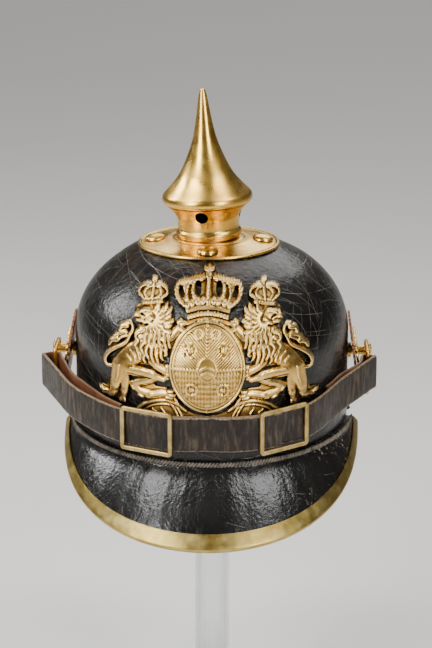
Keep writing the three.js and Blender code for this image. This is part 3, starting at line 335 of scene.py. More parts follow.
# %% Strap leather and sewing thread
def strap_material():
    """Dry strap leather: dark worn face, pale rubbed edges, red-brown back."""
    made, tree, shader, place = start_material("worn_strap_leather", Specular_IOR_Level=0.28)
    flow = add(tree, STORED, None, "Vector", attribute_name="flow")
    parts = add(tree, SPLIT, {0: flow})
    across = add(tree, MATHS, {0: parts.outputs["Y"]}, 0, operation="ABSOLUTE")
    clouds = add(tree, NOISE, {"Vector": place, "Scale": per_mm(16), "Detail": 6.0, "Roughness": 0.65}, 0)
    cloud = add(tree, RANGE, {0: clouds, 1: 0.35, 2: 0.68}, 0)
    tint = add(tree, MIX, {0: cloud, 6: rgb("#0d0a08"), 7: rgb("#231a13")}, 2, data_type="RGBA")
    # Dye rubbed off, most of all towards the ends
    end_way = add(tree, MATHS, {0: add(tree, SPLIT, {0: place}, "X")}, 0, operation="ABSOLUTE")
    reach = add(tree, RANGE, {0: end_way, 1: 0.03, 2: 0.075, 3: 0.4, 4: 1.0}, 0)
    upright_wear = add(tree, TURN, {"Vector": flow, "Scale": (1.0, 0.3, 0.0)}, 0)
    rubs = add(tree, NOISE, {"Vector": upright_wear, "Scale": per_mm(2.6), "Detail": 6.0,
                             "Roughness": 0.7}, 0)
    rubbed = add(tree, RANGE, {0: rubs, 1: 0.42, 2: 0.68, 4: reach}, 0)
    worn = add(tree, MATHS, {0: rubbed, 1: 0.32}, 0, operation="MULTIPLY")
    tint = add(tree, MIX, {0: worn, 6: tint, 7: rgb("#64533f")}, 2, data_type="RGBA")
    # Pale frayed edges
    ragged = add(tree, NOISE, {"Vector": place, "Scale": per_mm(1.5), "Detail": 5.0}, 0)
    fray = add(tree, RANGE, {0: ragged, 1: 0.3, 2: 0.7, 3: -0.6 * MM, 4: 0.6 * MM}, 0)
    rim = add(tree, MATHS, {0: across, 1: fray}, 0, operation="ADD")
    edge = add(tree, RANGE, {0: rim, 1: 9.8 * MM, 2: 10.6 * MM, 4: 0.8}, 0)
    tint = add(tree, MIX, {0: edge, 6: tint, 7: rgb("#8b7a5f")}, 2, data_type="RGBA")
    # Upright creases
    upright = add(tree, TURN, {"Vector": flow, "Scale": (1.0, 0.2, 0.0)}, 0)
    lines = add(tree, NOISE, {"Vector": upright, "Scale": per_mm(2.6), "Detail": 4.0, "Roughness": 0.6}, 0)
    creases = add(tree, RANGE, {0: lines, 1: 0.5, 2: 0.64, 4: cloud}, 0)
    shown = add(tree, MATHS, {0: creases, 1: 0.3}, 0, operation="MULTIPLY")
    tint = add(tree, MIX, {0: shown, 6: tint, 7: rgb("#75675a")}, 2, data_type="RGBA")
    # Red-brown back
    flesh = add(tree, MIX, {0: cloud, 6: rgb("#4c2c1b"), 7: rgb("#74492e")}, 2, data_type="RGBA")
    back = add(tree, RANGE, {0: parts.outputs["Z"], 1: 0.4, 2: -0.4}, 0)
    tint = add(tree, MIX, {0: back, 6: tint, 7: flesh}, 2, data_type="RGBA")
    gloss = add(tree, RANGE, {0: cloud, 3: 0.36, 4: 0.6}, 0)
    pores = add(tree, NOISE, {"Vector": place, "Scale": per_mm(1.4), "Detail": 5.0}, 0)
    normal = add(tree, BUMP, {"Height": pores, "Distance": 0.25 * MM, "Strength": 0.6}, 0)
    bends = add(tree, NOISE, {"Vector": upright, "Scale": per_mm(4.5), "Detail": 3.0}, 0)
    normal = add(tree, BUMP, {"Height": bends, "Distance": 0.6 * MM, "Strength": 0.5, "Normal": normal}, 0)
    for key, value in (("Base Color", tint), ("Roughness", gloss), ("Normal", normal)):
        tree.links.new(value, shader.inputs[key])
    return made

def thread_material():
    """Waxed linen sewing, grey from handling."""
    made, tree, shader, place = start_material("waxed_linen_thread", Roughness=0.8)
    clouds = add(tree, NOISE, {"Vector": place, "Scale": per_mm(4), "Detail": 4.0}, 0)
    grime = add(tree, RANGE, {0: clouds, 1: 0.35, 2: 0.7}, 0)
    tint = add(tree, MIX, {0: grime, 6: rgb("#3f3a32"), 7: rgb("#776d5e")}, 2, data_type="RGBA")
    fibres = add(tree, NOISE, {"Vector": place, "Scale": per_mm(0.5), "Detail": 3.0}, 0)
    normal = add(tree, BUMP, {"Height": fibres, "Distance": 0.1 * MM, "Strength": 0.6}, 0)
    tree.links.new(tint, shader.inputs["Base Color"])
    tree.links.new(normal, shader.inputs["Normal"])
    return made

strap_leather, linen_thread = strap_material(), thread_material()
print("strap and thread", strap_leather.name, linen_thread.name)

# %% [markdown]
# The stand is clear cast acrylic, polished on the lathe, with a faint bloom of dust. Full glass
# alone turns dark where many walls lie behind each other, so some plain see-through is mixed in.
# The floor is a pale matt board that only catches the shadows.

# %% Clear plastic and floor
def acrylic_material():
    """Clear cast acrylic with the faintest bloom of dust."""
    made, tree, shader, place = start_material("clear_acrylic", Transmission_Weight=1.0, IOR=1.49,
                                               Alpha=0.55)
    shader.inputs["Base Color"].default_value = rgb("#f4f8f8")
    bloom = add(tree, NOISE, {"Vector": place, "Scale": per_mm(20), "Detail": 5.0}, 0)
    dust = add(tree, RANGE, {0: bloom, 1: 0.4, 2: 0.8, 3: 0.02, 4: 0.09}, 0)
    tree.links.new(dust, shader.inputs["Roughness"])
    return made

def floor_material():
    """Pale matt board."""
    made, tree, shader, place = start_material("pale_floor", Roughness=0.7)
    clouds = add(tree, NOISE, {"Vector": place, "Scale": per_mm(900), "Detail": 2.0}, 0)
    tint = add(tree, MIX, {0: clouds, 6: rgb("#dcdad6"), 7: rgb("#e2e0dc")}, 2, data_type="RGBA")
    tree.links.new(tint, shader.inputs["Base Color"])
    return made

acrylic, pale_board = acrylic_material(), floor_material()
print("stand and floor", acrylic.name, pale_board.name)

# %% [markdown]
# Meshes are worked out as rows of points, in millimetres above the rim, and joined with four-sided
# faces. Modelling by hand would do as well, but rows keep every size tied to a named value. This
# helper turns points and faces into a closed body with outward faces, which rides on the frame's
# one body and stands for the plain solids that it covers.

# %% Bodies on the frame
def make(name, points, faces, material, slot, replaces=(), lift=RIM, attributes=None, sharp=40):
    """A closed body from points in millimetres above the rim, ready in the frame."""
    points = np.asarray(points, float).reshape(-1, 3) + [0, 0, lift]
    mesh = bpy.data.meshes.new(name)
    mesh.from_pydata((points * MM).tolist(), [], [list(map(int, f)) for f in faces])
    for key, (kind, values) in (attributes or {}).items():
        layer = mesh.attributes.new(key, kind, "POINT")
        field = "vector" if kind == "FLOAT_VECTOR" else "value"
        layer.data.foreach_set(field, np.asarray(values, np.float32).ravel())
    work = bmesh.new()
    work.from_mesh(mesh)
    bmesh.ops.remove_doubles(work, verts=work.verts, dist=2e-6)
    bmesh.ops.dissolve_degenerate(work, edges=work.edges, dist=1e-7)
    bmesh.ops.recalc_face_normals(work, faces=work.faces)
    work.to_mesh(mesh)
    work.free()
    mesh.materials.append(material)
    mesh.shade_smooth()
    if sharp:
        mesh.set_sharp_from_angle(angle=math.radians(sharp))
    body = bpy.data.objects.new(name, mesh)
    bpy.context.scene.collection.objects.link(body)
    return settle(body, replaces)

def settle(body, replaces=()):
    """The piece rides on the frame and stands for its plain solids."""
    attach(body, "root")
    if replaces:
        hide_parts(*replaces)
    return body

print("bodies are laid", RIM, "mm above the table")

# %% [markdown]
# Three shapes come back all through the helmet: a skin over rows of points, a smooth line through a
# few chosen points, and a profile turned round an upright axis, as on the spinner's lathe. Each is
# made once here and used wherever it fits.

# %% Skins, smooth lines and turned shapes
def skin(rows, closed_round=True, closed_along=True):
    """Four-sided faces over a grid of points, joined round and along as asked."""
    count, around = rows.shape[:2]
    i, j = np.meshgrid(np.arange(count if closed_along else count - 1),
                       np.arange(around if closed_round else around - 1), indexing="ij")
    ni, nj = (i + 1) % count, (j + 1) % around
    faces = np.stack([i * around + j, i * around + nj, ni * around + nj, ni * around + j], -1)
    return rows.reshape(-1, 3), faces.reshape(-1, 4)

def curve_through(points, steps=8):
    """A smooth line through points, by Catmull-Rom spans."""
    p = np.asarray(points, float)
    p = np.vstack([2 * p[0] - p[1], p, 2 * p[-1] - p[-2]])
    t = np.linspace(0, 1, steps, endpoint=False)[:, None]
    spans = []
    for a, b, c, d in zip(p, p[1:], p[2:], p[3:]):
        spans.append(0.5 * (2 * b + (c - a) * t + (2 * a - 5 * b + 4 * c - d) * t ** 2
                            + (3 * b - a - 3 * c + d) * t ** 3))
    return np.vstack(spans + [p[-2:-1]])

def lathe(profile, segments=96):
    """A closed profile of (radius, height) turned round the upright axis."""
    turn = np.linspace(0, 2 * np.pi, segments, endpoint=False)
    r, z = np.asarray(profile, float).T
    rows = np.stack([r[:, None] * np.cos(turn), r[:, None] * np.sin(turn),
                     np.repeat(z[:, None], segments, 1)], -1)
    return skin(rows)

def clean_body(body):
    """Takes a modifier's result as the piece's own mesh, with the modifier gone."""
    ready = bpy.data.meshes.new_from_object(body.evaluated_get(bpy.context.evaluated_depsgraph_get()))
    body.modifiers.clear()
    body.data = ready
    return body

print("a turned ring of 96 sides has", len(lathe([(1, 0), (2, 0), (2, 1)])[1]), "faces")

# %% [markdown]
# The stand is a turned acrylic foot, a clear tube and a pad under the crown. Plain cylinders would
# have knife edges that catch no light, so the foot and the pad are turned profiles with eased,
# polished edges. The tube is hollow, which gives the inner lines seen beside its outline.

# %% Stand
FOOT_R, FOOT_T, SOCKET = 75.0, 10.0, 4.0
TUBE_R, TUBE_BORE, TUBE_FOOT = 11.5, 8.0, 4.3
PAD_R = 27.0
foot_profile = [(0, 0), (FOOT_R - 1, 0), (FOOT_R - 0.3, 0.3), (FOOT_R, 1), (FOOT_R, FOOT_T - 1.5),
                (FOOT_R - 0.4, FOOT_T - 0.4), (FOOT_R - 1.5, FOOT_T), (TUBE_R + 0.3, FOOT_T),
                (TUBE_R + 0.3, SOCKET), (0, SOCKET)]
make("clear_foot", *lathe(foot_profile, 160), acrylic, "clear_acrylic", ["stand_foot"], 0)
tube_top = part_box("stand_post")[1][2] / MM
make("clear_tube", *lathe([(TUBE_BORE, TUBE_FOOT), (TUBE_R, TUBE_FOOT), (TUBE_R, tube_top),
                           (TUBE_BORE, tube_top)], 96), acrylic, "clear_acrylic", ["stand_post"], 0)
pad_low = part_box("stand_pad")[0][2] / MM
pad_profile = [(0, pad_low + 4), (TUBE_R + 0.3, pad_low + 4), (TUBE_R + 0.3, pad_low), (PAD_R - 2, pad_low),
               (PAD_R, pad_low + 2), (PAD_R, pad_low + 5.3), (PAD_R - 3, pad_low + 7.1), (0, pad_low + 7.9)]
make("clear_pad", *lathe(pad_profile, 96), acrylic, "clear_acrylic", ["stand_pad"], 0)
print("stand up to", round(tube_top, 1), "mm")

# %% [markdown]
# The skull is one piece of leather, wetted and blocked over a wooden form. A squashed sphere would
# bulge in the wrong places, so the form is worked out as an upright oval wall under a dome whose
# two half outlines have powers of their own. Every piece that sits on the leather asks this same
# form for its place.

# %% Skull form
HALF_W, HALF_L, WALL_H, CROWN_H, LEATHER = 88.0, 106.0, 60.0, 63.0, 3.0
POWER_W, POWER_L, SEAT_R, SEAT_RISE, SEAT_X = 2.0, 1.72, 45.0, 2.8, -1.9
SEAT_LEVEL = math.sqrt(1 - (SEAT_R / HALF_W) ** 2)
SEAT_Z = WALL_H + CROWN_H * SEAT_LEVEL

def half_axes(z, offset):
    """Half width and half length of the form at a height, with the leather's face moved out."""
    level = np.clip((z - WALL_H) / (CROWN_H + offset), 0, 1)
    share = lambda power: np.clip(1 - level ** power, 0, 1) ** (1 / power)
    return (HALF_W + offset) * share(POWER_W), (HALF_L + offset) * share(POWER_L)

def crown_shift(z):
    """How far the crown leans over to one side at a height."""
    t = np.clip(((z - WALL_H) / CROWN_H - 0.68) / (SEAT_LEVEL - 0.68), 0, 1)
    return SEAT_X * t * t * (3 - 2 * t)

def on_skull(azimuth, z, offset=0.0):
    """Points at azimuths in degrees from the front towards the right, at heights and offsets."""
    azimuth, z, offset = np.broadcast_arrays(*map(np.asarray, (azimuth, z, offset)))
    wide, long = half_axes(z.astype(float), offset)
    a = np.radians(azimuth)
    return np.stack([wide * np.sin(a) + crown_shift(z), -long * np.cos(a), z + 0.0 * a], -1)

print("seat of the spike's plate at", round(SEAT_Z + RIM, 1), "mm")

# %% [markdown]
# The leather itself is a shell of two faces, 3 mm apart, joined at the brim and round the vent under
# the spike. Its outer face is a little uneven from age, and its top is a low seat for the spike's
# plate.

# %% Skull leather
SKULL_SIDES = 288
UNEVEN = 0.12
VENT_R = 8
SEAT_RINGS = (0.9, 0.75, 0.55, 0.35, VENT_R / SEAT_R)

def skull_rows(inset, around):
    """Rows of points up one face of the leather, closed over the seat to the vent."""
    heights = [*np.linspace(0.8 if not inset else 0.4, WALL_H, 22),
               *(WALL_H + CROWN_H * np.sin(np.linspace(0, math.asin(SEAT_LEVEL), 44)[1:]))]
    az = np.linspace(0, 360, around, endpoint=False)
    rows = []
    for z in heights:
        level = min(z, WALL_H) + max(0, z - WALL_H) * (1 - inset / CROWN_H)
        uneven = UNEVEN * np.sin(np.radians(az * 3 + z * 2)) * np.sin(z / 17) if not inset else 0
        rows.append(on_skull(az, level, -inset + uneven))
    edge, centre = rows[-1], np.array([SEAT_X, 0, 0])
    for share in SEAT_RINGS:
        flat = centre + (edge - centre) * share
        flat[:, 2] = edge[:, 2] + SEAT_RISE * (1 - share ** 4)
        rows.append(flat)
    return rows

outer_rows, inner_rows = skull_rows(0, SKULL_SIDES), skull_rows(LEATHER, SKULL_SIDES)
brim_turns = np.linspace(0, 360, SKULL_SIDES, endpoint=False)
brim = [on_skull(brim_turns, 0.0, -LEATHER * share) for share in (0.72, 0.28)]
make("leather_skull", *skin(np.array(brim[1:] + outer_rows + inner_rows[::-1] + brim[:1])),
     skull_leather, "black_leather", ["skull"])
print("skull rows", len(outer_rows) + len(inner_rows) + len(brim))

# %% [markdown]
# The visors are cut from flat leather, bent to the rim and sewn on through a narrow flange. Such a
# sheet could be bent with a modifier, but its reach and drop change all the way round, so one
# function gives its section at each azimuth: the flange, a bow, and the lower edge. Both visors,
# the brass channel, the rear strip and the stitches take their places from it.

# %% Visor sections
SHEET, FLANGE, BOW, FIT = 2.5, 4.5, 1.6, 0.3
# columns: middle azimuth, spread, reach, drop, side reach, side drop
VISORS = {"front": (0, 87, 34.2, 38.3, 3.6, 3.6), "rear": (180, 78, 30.0, 36.0, 3.0, 4.0)}

def flange_rise(which, azimuth):
    """Height of the sewn flange, which dies away over the last degrees of each end."""
    middle_az, spread = VISORS[which][:2]
    left = np.clip((spread - np.abs(azimuth - middle_az)) / 9.0, 0, 1)
    return FLANGE * (0.3 + 0.7 * left * (2 - left))

def visor_line(which, azimuth, stations):
    """Mid-line of a visor's section at one azimuth: points, normals and distances from the seam."""
    middle_az, spread, reach, drop, side_reach, side_drop = VISORS[which]
    share = max(0.0, math.cos(math.radians((azimuth - middle_az) / spread * 90)))
    out_by = side_reach + (reach - side_reach) * share ** 1.78
    down_by = side_drop + (drop - side_drop) * share ** 1.3
    length = math.hypot(out_by, down_by)
    bow = BOW * length / math.hypot(reach, drop)
    a = math.radians(azimuth)
    out = np.array([math.sin(a) / HALF_W, -math.cos(a) / HALF_L, 0])
    out /= np.linalg.norm(out)
    base = on_skull(azimuth, 0.0) + out * (FIT + SHEET / 2)
    up = np.array([0, 0, 1.0])
    slope, normal = (out * out_by - up * down_by) / length, (out * down_by + up * out_by) / length
    lower = [base + slope * t * length + normal * bow * 4 * t * (1 - t) for t in stations]
    rise = float(flange_rise(which, azimuth))
    flange = [base + up * z for z in (rise, rise * 0.62, rise * 0.25)]
    line = curve_through(flange + lower, 4)
    ahead = np.gradient(line, axis=0)
    side = np.cross(ahead, np.cross(out, up))
    side /= np.linalg.norm(side, axis=1)[:, None]
    if side[-1] @ normal < 0:
        side = -side
    run = np.concatenate([[0], np.cumsum(np.linalg.norm(np.diff(line, axis=0), axis=1))])
    return line, side, run, share

front_section = visor_line("front", 0, (0.5, 1.0))
print("front visor is", round(float(front_section[2][-1]), 1), "mm from flange to edge at its middle")

# %% [markdown]
# Each visor is a skin over such sections, 2.5 mm thick. Its top face waves a little, because old
# varnished leather has buckled between the seam and the edge, and it stores the distance round and
# down, along which its wrinkles run.

# %% Visors
# Shares of the way down, the millimetres over which the waves fade in, and the rim's length for a degree
VISOR_STATIONS = (0.1, 0.25, 0.4, 0.55, 0.7, 0.85, 1.0)
AWAY_FROM_SEAM, AWAY_FROM_EDGE = 14, 10
AROUND_MM = 1.7

def visor(name, which, columns, node):
    """One visor: top and under face over the sections, closed at both ends."""
    middle_az, spread = VISORS[which][:2]
    grid, flow = [], []
    for n, azimuth in enumerate(np.linspace(middle_az - spread, middle_az + spread, columns)):
        line, side, run = visor_line(which, azimuth, VISOR_STATIONS)[:3]
        depth = np.clip(run / AWAY_FROM_SEAM, 0, 1) * np.clip((run[-1] - run) / AWAY_FROM_EDGE, 0, 1)
        wave = (0.12 * np.sin(azimuth * 0.31) + 0.08 * np.sin(azimuth * 0.83 + 1)
                + 0.05 * np.sin(azimuth * 2.1 + run[-1] / 5))
        top = line + side * (SHEET / 2 + depth * wave)[:, None]
        grid.append(np.vstack([top, (line - side * SHEET / 2)[::-1]]))
        arc = azimuth * AROUND_MM * MM
        flow += [(arc, d * MM, 1.0) for d in run] + [(arc, d * MM, -1.0) for d in run[::-1]]
    points, faces = skin(np.array(grid), True, False)
    around = len(grid[0])
    half = around // 2
    ends = [[start + j, start + j + 1, start + around - 2 - j, start + around - 1 - j]
            for start in (0, (columns - 1) * around) for j in range(half - 1)]
    return make(name, points, np.vstack([faces, ends]), visor_leather, "visor_leather", [node],
                attributes={"flow": ("FLOAT_VECTOR", flow)})

front_leather = visor("front_visor_leather", "front", 161, "front_visor")
rear_leather = visor("rear_visor_leather", "rear", 121, "rear_visor")
print("visors", len(front_leather.data.polygons) + len(rear_leather.data.polygons), "faces")

# %% [markdown]
# A brass channel folded over the edge keeps the front visor in shape. A bevelled curve would give a
# round wire, so the channel is a skin as well: a flat face above that is widest in front, a round
# fold at the edge, and a narrow tuck below.

# %% Brass channel
TRIM_SIDE, TRIM_GROWTH, TRIM_TUCK = 3.8, 5.2, 3.4
TRIM_GAP, TRIM_SHEET, FOLD_GAP = 0.5, 0.8, 0.3

def trim_channel():
    """Brass channel: wide face above, a round fold at the edge, and a narrow tuck below."""
    grid = []
    spread = VISORS["front"][1]
    for azimuth in np.linspace(-spread, spread, 175):
        line, side, run, share = visor_line("front", azimuth, VISOR_STATIONS)
        width, tuck = TRIM_SIDE + TRIM_GROWTH * share, TRIM_TUCK
        at = lambda back: (np.array([np.interp(run[-1] - back, run, line[:, k]) for k in range(3)]),
                           np.array([np.interp(run[-1] - back, run, side[:, k]) for k in range(3)]))
        tip, up_way = line[-1], side[-1]
        on_way = np.gradient(line, axis=0)[-1]
        on_way /= np.linalg.norm(on_way)
        faces_of = []
        for clear in (TRIM_GAP + TRIM_SHEET, TRIM_GAP):
            upper = [at(b)[0] + at(b)[1] * (SHEET / 2 + clear)
                     for b in (width, width * 0.66, width * 0.33, 0.4)]
            lower = [at(b)[0] - at(b)[1] * (SHEET / 2 + clear) for b in (0.4, tuck * 0.5, tuck)]
            fold = [tip + up_way * (SHEET / 2 + clear) * math.cos(t)
                    + on_way * (FOLD_GAP + clear) * math.sin(t)
                    for t in np.linspace(0.25, math.pi - 0.25, 7)]
            faces_of.append(upper + fold + lower)
        outer, inner = faces_of
        crest = (outer[0] + inner[0]) / 2 + (outer[0] - outer[1]) * 0.08
        grid.append([crest] + outer + inner[::-1])
    rows = np.array(grid, float)
    points, faces = skin(rows, True, False)
    around = rows.shape[1]
    half = (around - 1) // 2
    caps = []
    for start in (0, (len(grid) - 1) * around):
        caps += [[start + 1 + j, start + 2 + j, start + around - 2 - j, start + around - 1 - j]
                 for j in range(half - 1)]
        caps += [[start, start + 1, start + around - 1]]
    return make("visor_trim", points, [*faces.tolist(), *caps], trim_brass, "trim_brass",
                ["front_visor_trim"])

trim = trim_channel()
print("brass channel", len(trim.data.polygons), "faces")

# %% [markdown]
# A brass strip runs down the back of such a helmet, from below the spike's plate to the rear
# visor's edge, and stiffens the leather. A flat ribbon would look like tape, so its section is
# crowned a little, and it steps over the visor's flange as the bent metal does.

# %% Rear spine
STRIP_HALF, STRIP_SHEET, STRIP_CROWN = 7, 0.75, 0.45
STRIP_GAP, STRIP_GAP_VISOR = 0.35, 0.45
# Heights down the back, and how far the strip stands off to clear the visor's flange
STRIP_STOPS = [(45, 0), (30, 0), (18, 0), (10.5, 0.2), (8, 1.2), (5.5, 2.8), (1, 2.8)]

def rear_spine():
    """Crowned strip down the middle of the back and over the rear visor."""
    heights = WALL_H + CROWN_H * np.sin(np.linspace(math.asin(SEAT_LEVEL) * 5 / 6, 0, 16))
    stops = [(z, 0.0) for z in heights] + STRIP_STOPS
    ribbon = []
    for across in np.linspace(-1, 1, 9):
        crown_of = STRIP_CROWN * math.cos(across * 1.4)
        column = []
        for z, lift in stops:
            wide = half_axes(np.array(float(z)), 0)[0]
            turn = math.degrees(math.asin(min(0.95, across * STRIP_HALF / float(wide))))
            column.append([on_skull(180 - turn, z, o + lift)
                           for o in (STRIP_GAP + STRIP_SHEET + crown_of, STRIP_GAP)])
        turn = math.degrees(math.asin(across * STRIP_HALF / HALF_W))
        line, side, run = visor_line("rear", 180 - turn, VISOR_STATIONS)[:3]
        for t in np.linspace(0.26, 0.975, 12):
            p = np.array([np.interp(t * run[-1], run, line[:, k]) for k in range(3)])
            n = np.array([np.interp(t * run[-1], run, side[:, k]) for k in range(3)])
            column.append([p + n * (SHEET / 2 + o)
                           for o in (STRIP_GAP_VISOR + STRIP_SHEET + crown_of, STRIP_GAP_VISOR)])
        ribbon.append(column)
    rows = np.array(ribbon)
    loops = np.concatenate([rows[:, :, 0], rows[::-1, :, 1]]).transpose(1, 0, 2)
    points, faces = skin(loops, True, False)
    around = loops.shape[1]
    caps = [[s + j, s + j + 1, s + around - 2 - j, s + around - 1 - j]
            for s in (0, (len(loops) - 1) * around) for j in range(around // 2 - 1)]
    return make("rear_strip", points, np.vstack([faces, caps]), spike_brass, "spike_brass",
                ["rear_spine"])

strip = rear_spine()
print("rear strip", len(strip.data.polygons), "faces")

# %% [markdown]
# The visors are whipped to the skull with thick waxed thread. Each turn leans over the flange's
# edge, so the seam looks like a rope. Hundreds of turns that repeat along a path are work for
# geometry nodes: the tree sets stops at each pitch, puts a slanted, stretched bead of thread on
# each, and makes them real, because the export drops instances.

# %% Whipstitch tree
def stitch_tree():
    """Slanted thread turns, one at each pitch along a curve."""
    tree = bpy.data.node_groups.new("whipstitch", "GeometryNodeTree")
    tree.interface.new_socket("Seam", in_out="INPUT", socket_type="NodeSocketGeometry")
    for name in ("Pitch", "Length", "Thickness", "Slant"):
        tree.interface.new_socket(name, in_out="INPUT", socket_type="NodeSocketFloat")
    tree.interface.new_socket("Thread", in_out="INPUT", socket_type="NodeSocketMaterial")
    tree.interface.new_socket("Stitches", in_out="OUTPUT", socket_type="NodeSocketGeometry")
    given = add(tree, "NodeGroupInput").outputs
    stops = add(tree, "GeometryNodeResampleCurve", {"Curve": given["Seam"], "Length": given["Pitch"]}, 0,
                mode="LENGTH")
    bead = add(tree, "GeometryNodeMeshUVSphere", {"Segments": 10, "Rings": 8, "Radius": 1.0}, "Mesh")
    size = add(tree, "ShaderNodeCombineXYZ", {"X": given["Thickness"], "Y": given["Thickness"],
                                              "Z": given["Length"]}, 0)
    shaped = add(tree, "GeometryNodeTransform", {"Geometry": bead, "Scale": size}, 0)
    tangent = add(tree, "GeometryNodeInputTangent", None, 0)
    facing = add(tree, "FunctionNodeAlignRotationToVector", {"Vector": tangent}, 0, axis="X", pivot_axis="Z")
    lean = add(tree, "FunctionNodeAxisAngleToRotation", {"Axis": (0, 1, 0), "Angle": given["Slant"]}, 0)
    posed = add(tree, "FunctionNodeRotateRotation", {0: facing, 1: lean}, 0, rotation_space="LOCAL")
    placed = add(tree, "GeometryNodeInstanceOnPoints", {"Points": stops, "Instance": shaped,
                                                        "Rotation": posed}, 0)
    real = add(tree, "GeometryNodeRealizeInstances", {0: placed}, 0)
    dressed = add(tree, "GeometryNodeSetMaterial", {"Geometry": real, "Material": given["Thread"]}, 0)
    add(tree, "NodeGroupOutput", {"Stitches": dressed})
    return tree

whip = stitch_tree()
print("stitch tree", len(whip.nodes), "nodes")

# %% [markdown]
# The seam's path follows the skull just below the flange's edge. The tree runs on that curve as a
# modifier, its result is taken as a plain mesh, and the curve goes.

# %% Whipstitch along the seams
STITCH_PITCH, STITCH_LENGTH, STITCH_THICKNESS, STITCH_SLANT = 2.1, 2.1, 0.85, 0.75
STITCH_BELOW_EDGE, STITCH_OUT = 1.1, 0.25

def run_nodes(name, tree, source, values):
    """Runs a node tree on an object and keeps the result as a mesh of its own."""
    modifier = source.modifiers.new("nodes", "NODES")
    modifier.node_group = tree
    for item in tree.interface.items_tree:
        if item.in_out == "INPUT" and item.name in values:
            modifier[item.identifier] = values[item.name]
    bpy.context.view_layer.update()
    ready = bpy.data.meshes.new_from_object(source.evaluated_get(bpy.context.evaluated_depsgraph_get()))
    source.modifiers.clear()
    bpy.data.objects.remove(source)
    ready.name = name
    ready.shade_smooth()
    body = bpy.data.objects.new(name, ready)
    bpy.context.scene.collection.objects.link(body)
    return body

def seam_curve(points):
    """A curve through points above the rim, for the stitches to run along."""
    data = bpy.data.curves.new("seam", "CURVE")
    data.dimensions = "3D"
    spline = data.splines.new("POLY")
    spline.points.add(len(points) - 1)
    spline.points.foreach_set("co", np.c_[(points + [0, 0, RIM]) * MM, np.ones(len(points))].ravel())
    holder = bpy.data.objects.new("seam", data)
    bpy.context.scene.collection.objects.link(holder)
    return holder

for which in ("front", "rear"):
    name = which + "_whipstitch"
    middle_az, spread = VISORS[which][:2]
    turns = np.linspace(middle_az - spread + 0.5, middle_az + spread - 0.5, 240)
    edge_z = flange_rise(which, turns) - STITCH_BELOW_EDGE
    seam = seam_curve(on_skull(turns, edge_z, FIT + SHEET + STITCH_OUT))
    body = run_nodes(name, whip, seam, {"Pitch": STITCH_PITCH * MM, "Length": STITCH_LENGTH * MM,
                                        "Thickness": STITCH_THICKNESS * MM, "Slant": STITCH_SLANT,
                                        "Thread": linen_thread})
    settle(body)
    print(name, len(body.data.polygons), "faces")

# %% [markdown]
# The spike is spun from sheet brass in three parts, so each is a turned profile. The first is a
# flat base plate that is bolted to the crown. Its shoulder, groove and rolled rim are drawn as a
# real spinner would form them, because their edges catch the lamps.

# %% Spike base plate
seat = lambda r: FIT + SEAT_RISE * (1 - (r / SEAT_R) ** 4)
BASE_SHEET, STUD_CIRCLE, BASE_BORE, SHOULDER_TOP = 1.0, 34.4, 16.5, 5.3
base_top = [(28.2, 4.3), (29.2, 3.95), (31, 3.8)]
base_top += [(r, seat(r) + BASE_SHEET) for r in (STUD_CIRCLE, 38, 41, 42.8)]
base_shoulder = [(BASE_BORE, SHOULDER_TOP), (22.3, SHOULDER_TOP), (22.7, 5.0), (22.9, 4.72), (23.6, 4.6),
                 (25.2, 4.85), (26.5, 4.75), (27.6, 4.45)]
rim_roll = [(44.1 + 1.3 * math.sin(t), 1.35 + 1.1 * math.cos(t)) for t in np.linspace(-0.9, 3.0, 12)]
base_under = [(r, seat(r)) for r in (43.0, STUD_CIRCLE, BASE_BORE)]
base_profile = base_shoulder + base_top + rim_roll + base_under
points, faces = lathe(base_profile, 160)
make("spike_base_plate", points + [SEAT_X, 0, SEAT_Z], faces, spike_brass, "spike_brass",
     ["spike_base"], sharp=50)
print("base plate", len(faces), "faces")

# %% [markdown]
# A waisted neck stands on the plate. Its foot is a rolled bead, and four round vents let the head
# breathe. The vents are drilled with exact booleans, which leave clean edges on so thin a wall, and
# the inner faces are painted near black, a painted shade, because a vent shows black.

# %% Vented neck
LEAN = math.radians(2.5)
NECK_FOOT = 20.8
VENT_TURN, NECK_VENT_R, VENT_HEIGHT, DRILL_LONG = -9, 4.1, 15.6, 24
spike_at = np.array([SEAT_X, 0, SEAT_Z + SHOULDER_TOP + FIT + NECK_FOOT * math.sin(LEAN)])

def leaned(points):
    """Neck and spike lean a little together on the flat base."""
    turn = np.array(Matrix.Rotation(-LEAN, 3, "Y"))
    return np.asarray(points) @ turn.T + spike_at

